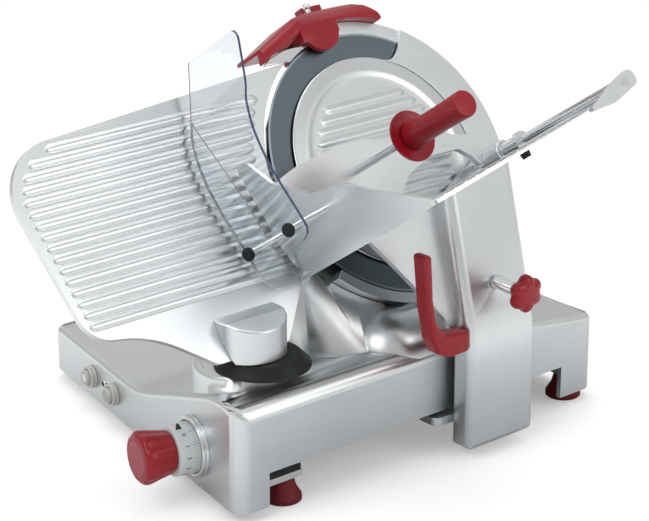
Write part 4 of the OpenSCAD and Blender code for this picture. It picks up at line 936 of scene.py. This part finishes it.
class SLICER_OT_guard(Operator):
    """Make the bent clear guard, its side panel and the caps of its bolts"""

    bl_idname = "slicer.guard"
    bl_label = "Clear guard"

    def execute(self, context):
        thick = context.scene.slicer_fittings.guard_t
        curve = smooth_line(
            [(-0.0470, 0.0253), (-0.0472, 0.0550), (-0.0486, 0.1080), (-0.0440, 0.1490), (-0.0335, 0.1800),
             (-0.0230, 0.1961), (-0.0140, 0.2140), (-0.0035, 0.2360), (0.0003, 0.2440), (0.0026, 0.2488),
             (0.0038, 0.2513), (0.0044, 0.2525)], 6)
        width, foot, foot_round, top_round = 0.112, 0.0253, 0.017, 0.014
        bend_up, bend_span, setback, seat, dip, dip_span = 0.196, 0.057, 0.0134, 0.0006, 0.0068, 0.05
        g = curve[:, 1][:, None]
        v = np.linspace(0.0, 1.0, 25)[None, :]
        near = np.clip((g - bend_up) / bend_span, 0, 1) * setback + seat
        drop = np.clip(foot_round - (g - foot), 0, foot_round)
        top = np.clip(g - (curve[-1, 1] - top_round), 0, top_round)
        foot_cut = foot_round - np.sqrt(foot_round**2 - drop**2)
        top_cut = top_round - np.sqrt(top_round**2 - top**2)
        far = width - foot_cut - top_cut
        n = near + (far - near) * v
        rise = g + dip * (n / width) * np.clip(1 - (g - foot) / dip_span, 0, 1) ** 2
        f = curve[:, 0][:, None] + 0 * n
        rows, cols = n.shape
        verts = np.vstack([at_tray(f, rise, n).reshape(-1, 3), at_tray(f + thick, rise, n).reshape(-1, 3)])
        flat = grid_faces(rows, cols, wrap=False)
        i, j = np.arange(rows), np.arange(cols)
        right, back = i[1:] * cols + cols - 1, (rows - 1) * cols + j[::-1][1:]
        loop = np.concatenate([j, right, back, i[::-1][1:-1] * cols])
        follow = np.roll(loop, -1)
        rim = np.stack([loop, follow, follow + rows * cols, loop + rows * cols], axis=-1)
        faces = np.vstack([flat, flat[:, ::-1] + rows * cols, rim[:, ::-1]])
        sheet = mesh_object("guard_front", verts, faces, paints["clear"])
        sheet.data.materials.append(paints["edge"])
        kinds = np.zeros(len(faces), np.int32)
        kinds[2 * len(flat):] = 1
        sheet.data.polygons.foreach_set("material_index", kinds)
        bpy.context.view_layer.objects.active = sheet
        sheet.select_set(True)
        bpy.ops.object.shade_smooth_by_angle(angle=math.radians(35), keep_sharp_edges=False)
        sheet.select_set(False)
        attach(sheet, "carriage")
        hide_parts("hand_guard")
        side_w, side_h, side_t = 0.047, 0.253, 0.0028
        side = np.array([(-0.47, 0.775), (-0.32, 0.51), (-0.26, 0.34), (-0.26, 0.18), (-0.06, -0.01),
                         (-0.17, -0.028), (-0.47, -0.012), (-0.77, 0.012), (-0.94, 0.055), (-1, 0.1)])
        side = side * (side_w, side_h)
        front = curve[(curve[:, 1] > 0.027) & (curve[:, 1] < bend_up - 0.001)] + (0.0002, 0)
        outline = np.vstack([smooth_line(side[:4], 4), side[4:], front])
        # The panel's rim takes the pale edge paint, a painted highlight.
        panel = slab(
            "guard_side", outline, seat, seat + side_t, at_tray, paints["clear"], paints["bright_edge"]
        )
        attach(panel, "carriage")
        axis = at_tray(-1, 0, 0) - at_tray(0, 0, 0)
        ball = [(0, 0.0), (0.0048, 0.0), (0.0063, 0.0010), (0.0073, 0.0028), (0.0075, 0.0048),
                (0.0071, 0.0068), (0.0060, 0.0085), (0.0042, 0.0096), (0.0020, 0.0100), (0, 0.0100)]
        up = at_tray(0, 1, 0) - at_tray(0, 0, 0)
        for name, spot in GUARD_CAPS.items():
            cap = turned("cap_" + name, at_tray(*spot), axis, up, ball, paints["black"], 40)
            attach(cap, "carriage")
            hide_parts("guard_caps")
        return {"FINISHED"}


class SLICER_OT_handles(Operator):
    """Make the pusher's handle and shield and the star knob"""

    bl_idname = "slicer.handles"
    bl_label = "Handles"

    def execute(self, context):
        normal = at_tray(0, 0, 1) - at_tray(0, 0, 0)
        up = at_tray(0, 1, 0) - at_tray(0, 0, 0)
        foot = at_tray(*PUSHER_FOOT)
        grip = [(0, 0.1377), (0.0118, 0.1377), (0.0136, 0.1384), (0.0144, 0.1400), (0.0143, 0.1450),
                (0.0139, 0.1600), (0.0137, 0.1800), (0.0138, 0.2000), (0.0142, 0.2180), (0.0145, 0.2270),
                (0.0145, 0.2302), (0.0143, 0.2318), (0.0138, 0.2329), (0.0130, 0.2334), (0.0124, 0.2335),
                (0, 0.2335)]
        handle = turned("pusher_grip", foot, normal, up, grip, paints["red"], 72)
        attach(handle, "pusher")
        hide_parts("pusher_handle")
        dish = [(0.0047, 0.1346), (0.0180, 0.1346), (0.0232, 0.1352), (0.0268, 0.1366), (0.0280, 0.1382),
                (0.0279, 0.1392), (0.0272, 0.1395), (0.0262, 0.1392), (0.0230, 0.1380), (0.0180, 0.1376),
                (0.0047, 0.1376), (0.0047, 0.1346)]
        shield = turned("pusher_shield", foot, normal, up, dish, paints["red"], 96)
        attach(shield, "pusher")
        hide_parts("hand_shield")

        lo, hi = low("star_knob"), high("star_knob")
        middle = np.array([0.0, (lo[1] + hi[1]) / 2, (lo[2] + hi[2]) / 2])
        side, z_up = np.array([1.0, 0.0, 0.0]), np.array([0.0, 0.0, 1.0])
        radius = (hi[2] - lo[2]) / 2

        def lobes(t, s):
            """Six round lobes: the radius dips by a squared cosine between them."""
            return 1 - 0.17 * (0.5 - 0.5 * np.cos(6 * t)) ** 1.3 + 0 * s

        head = [(0, 0.0), (0.50, 0.0), (0.80, 0.0004), (0.94, 0.0022), (0.99, 0.0048), (1.0, 0.0075),
                (0.98, 0.0104), (0.90, 0.0128), (0.76, 0.0141), (0.66, 0.0146), (0.62, 0.0150),
                (0.30, 0.0151), (0, 0.0151)]
        head = [(share * radius, h) for share, h in head]
        head_l, collar_from = 0.0152, 0.0276
        start = middle + side * (hi[0] - head_l)
        star = turned("star_head", start, side, z_up, head, paints["red"], 144, lobes)
        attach(star, "arm_clamp")
        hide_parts("star_knob")
        face = CORNER[0] + collar_from - lo[0]
        end = hi[0] - 0.0150 - lo[0]
        neck = [(0, 0.0), (0.0042, 0.0), (0.0042, face), (0.0070, face), (0.0076, face + 0.0006),
                (0.0076, face + 0.0030), (0.0070, face + 0.0036), (0.0070, end - 0.0010), (0.0060, end),
                (0, end)]
        stud = turned("star_stud", middle + side * lo[0], side, z_up, neck, paints["steel"], 48)
        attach(stud, "arm_clamp")
        return {"FINISHED"}


class SLICER_OT_stage(Operator):
    """Lay the pale floor and set the lamps"""

    bl_idname = "slicer.stage"
    bl_label = "Stage"

    def execute(self, context):
        white = (1.0, 1.0, 1.0, 1.0)
        world = bpy.data.worlds.new("Studio")
        context.scene.world = world
        world.use_nodes = True
        world.node_tree.nodes.clear()
        sky = Web(world.node_tree)
        place = sky.node("ShaderNodeTexCoord", {}, {}, out="Generated")
        height = sky.split(place)[2] * 0.5 + 0.5
        tones = ((0.0, 0.40), (0.40, 0.46), (0.53, 0.56), (0.62, 0.80), (0.76, 1.0), (1.0, 0.86))
        stops = [(share, (tone, tone, tone)) for share, tone in tones]
        shade = sky.node("ShaderNodeValToRGB", {"stops": stops}, {0: height})
        lit = sky.node("ShaderNodeBackground", {}, {"Color": shade, "Strength": 0.70})
        seen = sky.node("ShaderNodeBackground", {}, {"Color": white, "Strength": 1.0})
        camera_ray = sky.node("ShaderNodeLightPath", {}, {}, out="Is Camera Ray")
        mix = sky.node("ShaderNodeMixShader", {}, {0: camera_ray, 1: lit, 2: seen})
        sky.node("ShaderNodeOutputWorld", {}, {"Surface": mix})

        bpy.ops.mesh.primitive_plane_add(size=14.0, location=(0.0, 0.0, 0.0))
        floor = context.object
        floor.name = "floor"
        paint = Paint("Pale floor", Base_Color=(0.86, 0.86, 0.86), Roughness=0.9)
        bare = Sock(paint, paint.shader.outputs[0])
        glow = paint.node("ShaderNodeEmission", {}, {"Color": white, "Strength": 0.30})
        bright = paint.node("ShaderNodeAddShader", {}, {0: bare, 1: glow})
        camera_ray = paint.node("ShaderNodeLightPath", {}, {}, out="Is Camera Ray")
        glossy_ray = paint.node("ShaderNodeLightPath", {}, {}, out="Is Glossy Ray")
        direct = paint.node("ShaderNodeMixShader", {}, {0: camera_ray, 1: bare, 2: bright})
        # In reflections the floor near the machine is painted darker, painted shade where the machine shades
        # it; farther out it keeps its even glow.
        painted_shade_near = paint.node("ShaderNodeBsdfDiffuse", {}, {"Color": (0.60, 0.61, 0.62, 1.0)})
        x, y, _ = paint.split(paint.coords(centre=(0.1, 0.1, 0.0)))
        away = (x * x + y * y).sqrt().above(0.25, 0.45)
        mirrored = paint.node("ShaderNodeMixShader", {}, {0: away, 1: painted_shade_near, 2: bright})
        surface = paint.node("ShaderNodeMixShader", {}, {0: glossy_ray, 1: direct, 2: mirrored})
        paint.tree.links.new(surface.value, paint.tree.nodes["Material Output"].inputs["Surface"])
        clothe(floor, paint.mat)

        def lamp(name, place, target, size, power):
            data = bpy.data.lights.new(name, "AREA")
            data.shape = "RECTANGLE"
            data.size, data.size_y = size
            data.energy = power
            obj = bpy.data.objects.new(name, data)
            context.collection.objects.link(obj)
            place, target = Vector(place), Vector(target)
            obj.location = place
            obj.rotation_euler = (target - place).to_track_quat("-Z", "Y").to_euler()

        lamp("key", (0.2, -1.9, 1.9), (0.0, 0.0, 0.15), (1.5, 1.2), 16.0)
        lamp("side", (2.2, 0.9, 1.3), (0.0, 0.0, 0.2), (1.4, 1.4), 12.0)
        lamp("top", (-0.4, 0.3, 2.4), (0.0, 0.0, 0.2), (1.6, 1.6), 14.0)
        context.scene.view_settings.view_transform = "Standard"
        return {"FINISHED"}


class SLICER_PT_panel(Panel):
    """Lists the sizes, the finishes and the steps"""

    bl_idname = "SLICER_PT_panel"
    bl_label = "Food slicer"
    bl_space_type = "VIEW_3D"
    bl_region_type = "UI"
    bl_category = "Slicer"

    def draw(self, context):
        scene = context.scene
        for group in (scene.slicer_view, scene.slicer_finish, scene.slicer_fittings):
            box = self.layout.box()
            for name in group.bl_rna.properties.keys():
                if name not in ("rna_type", "name"):
                    box.prop(group, name)
        for step in STEPS:
            self.layout.operator(step.bl_idname)


STEPS = (
    SLICER_OT_view,
    SLICER_OT_finishes,
    SLICER_OT_castings,
    SLICER_OT_controls,
    SLICER_OT_cutting_face,
    SLICER_OT_guard,
    SLICER_OT_handles,
    SLICER_OT_stage,
)
CLASSES = (PhotoView, Finish, Fittings, *STEPS, SLICER_PT_panel)


def register():
    """Makes the classes and their settings known to Blender."""
    for cls in CLASSES:
        bpy.utils.register_class(cls)
    bpy.types.Scene.slicer_view = PointerProperty(type=PhotoView)
    bpy.types.Scene.slicer_finish = PointerProperty(type=Finish)
    bpy.types.Scene.slicer_fittings = PointerProperty(type=Fittings)


def unregister():
    """Takes the classes and their settings away again."""
    del bpy.types.Scene.slicer_fittings
    del bpy.types.Scene.slicer_finish
    del bpy.types.Scene.slicer_view
    for cls in reversed(CLASSES):
        bpy.utils.unregister_class(cls)


def main():
    """Runs every step in order."""
    register()
    for step in STEPS:
        group, name = step.bl_idname.split(".")
        getattr(getattr(bpy.ops, group), name)()


if __name__ == "__main__":
    main()
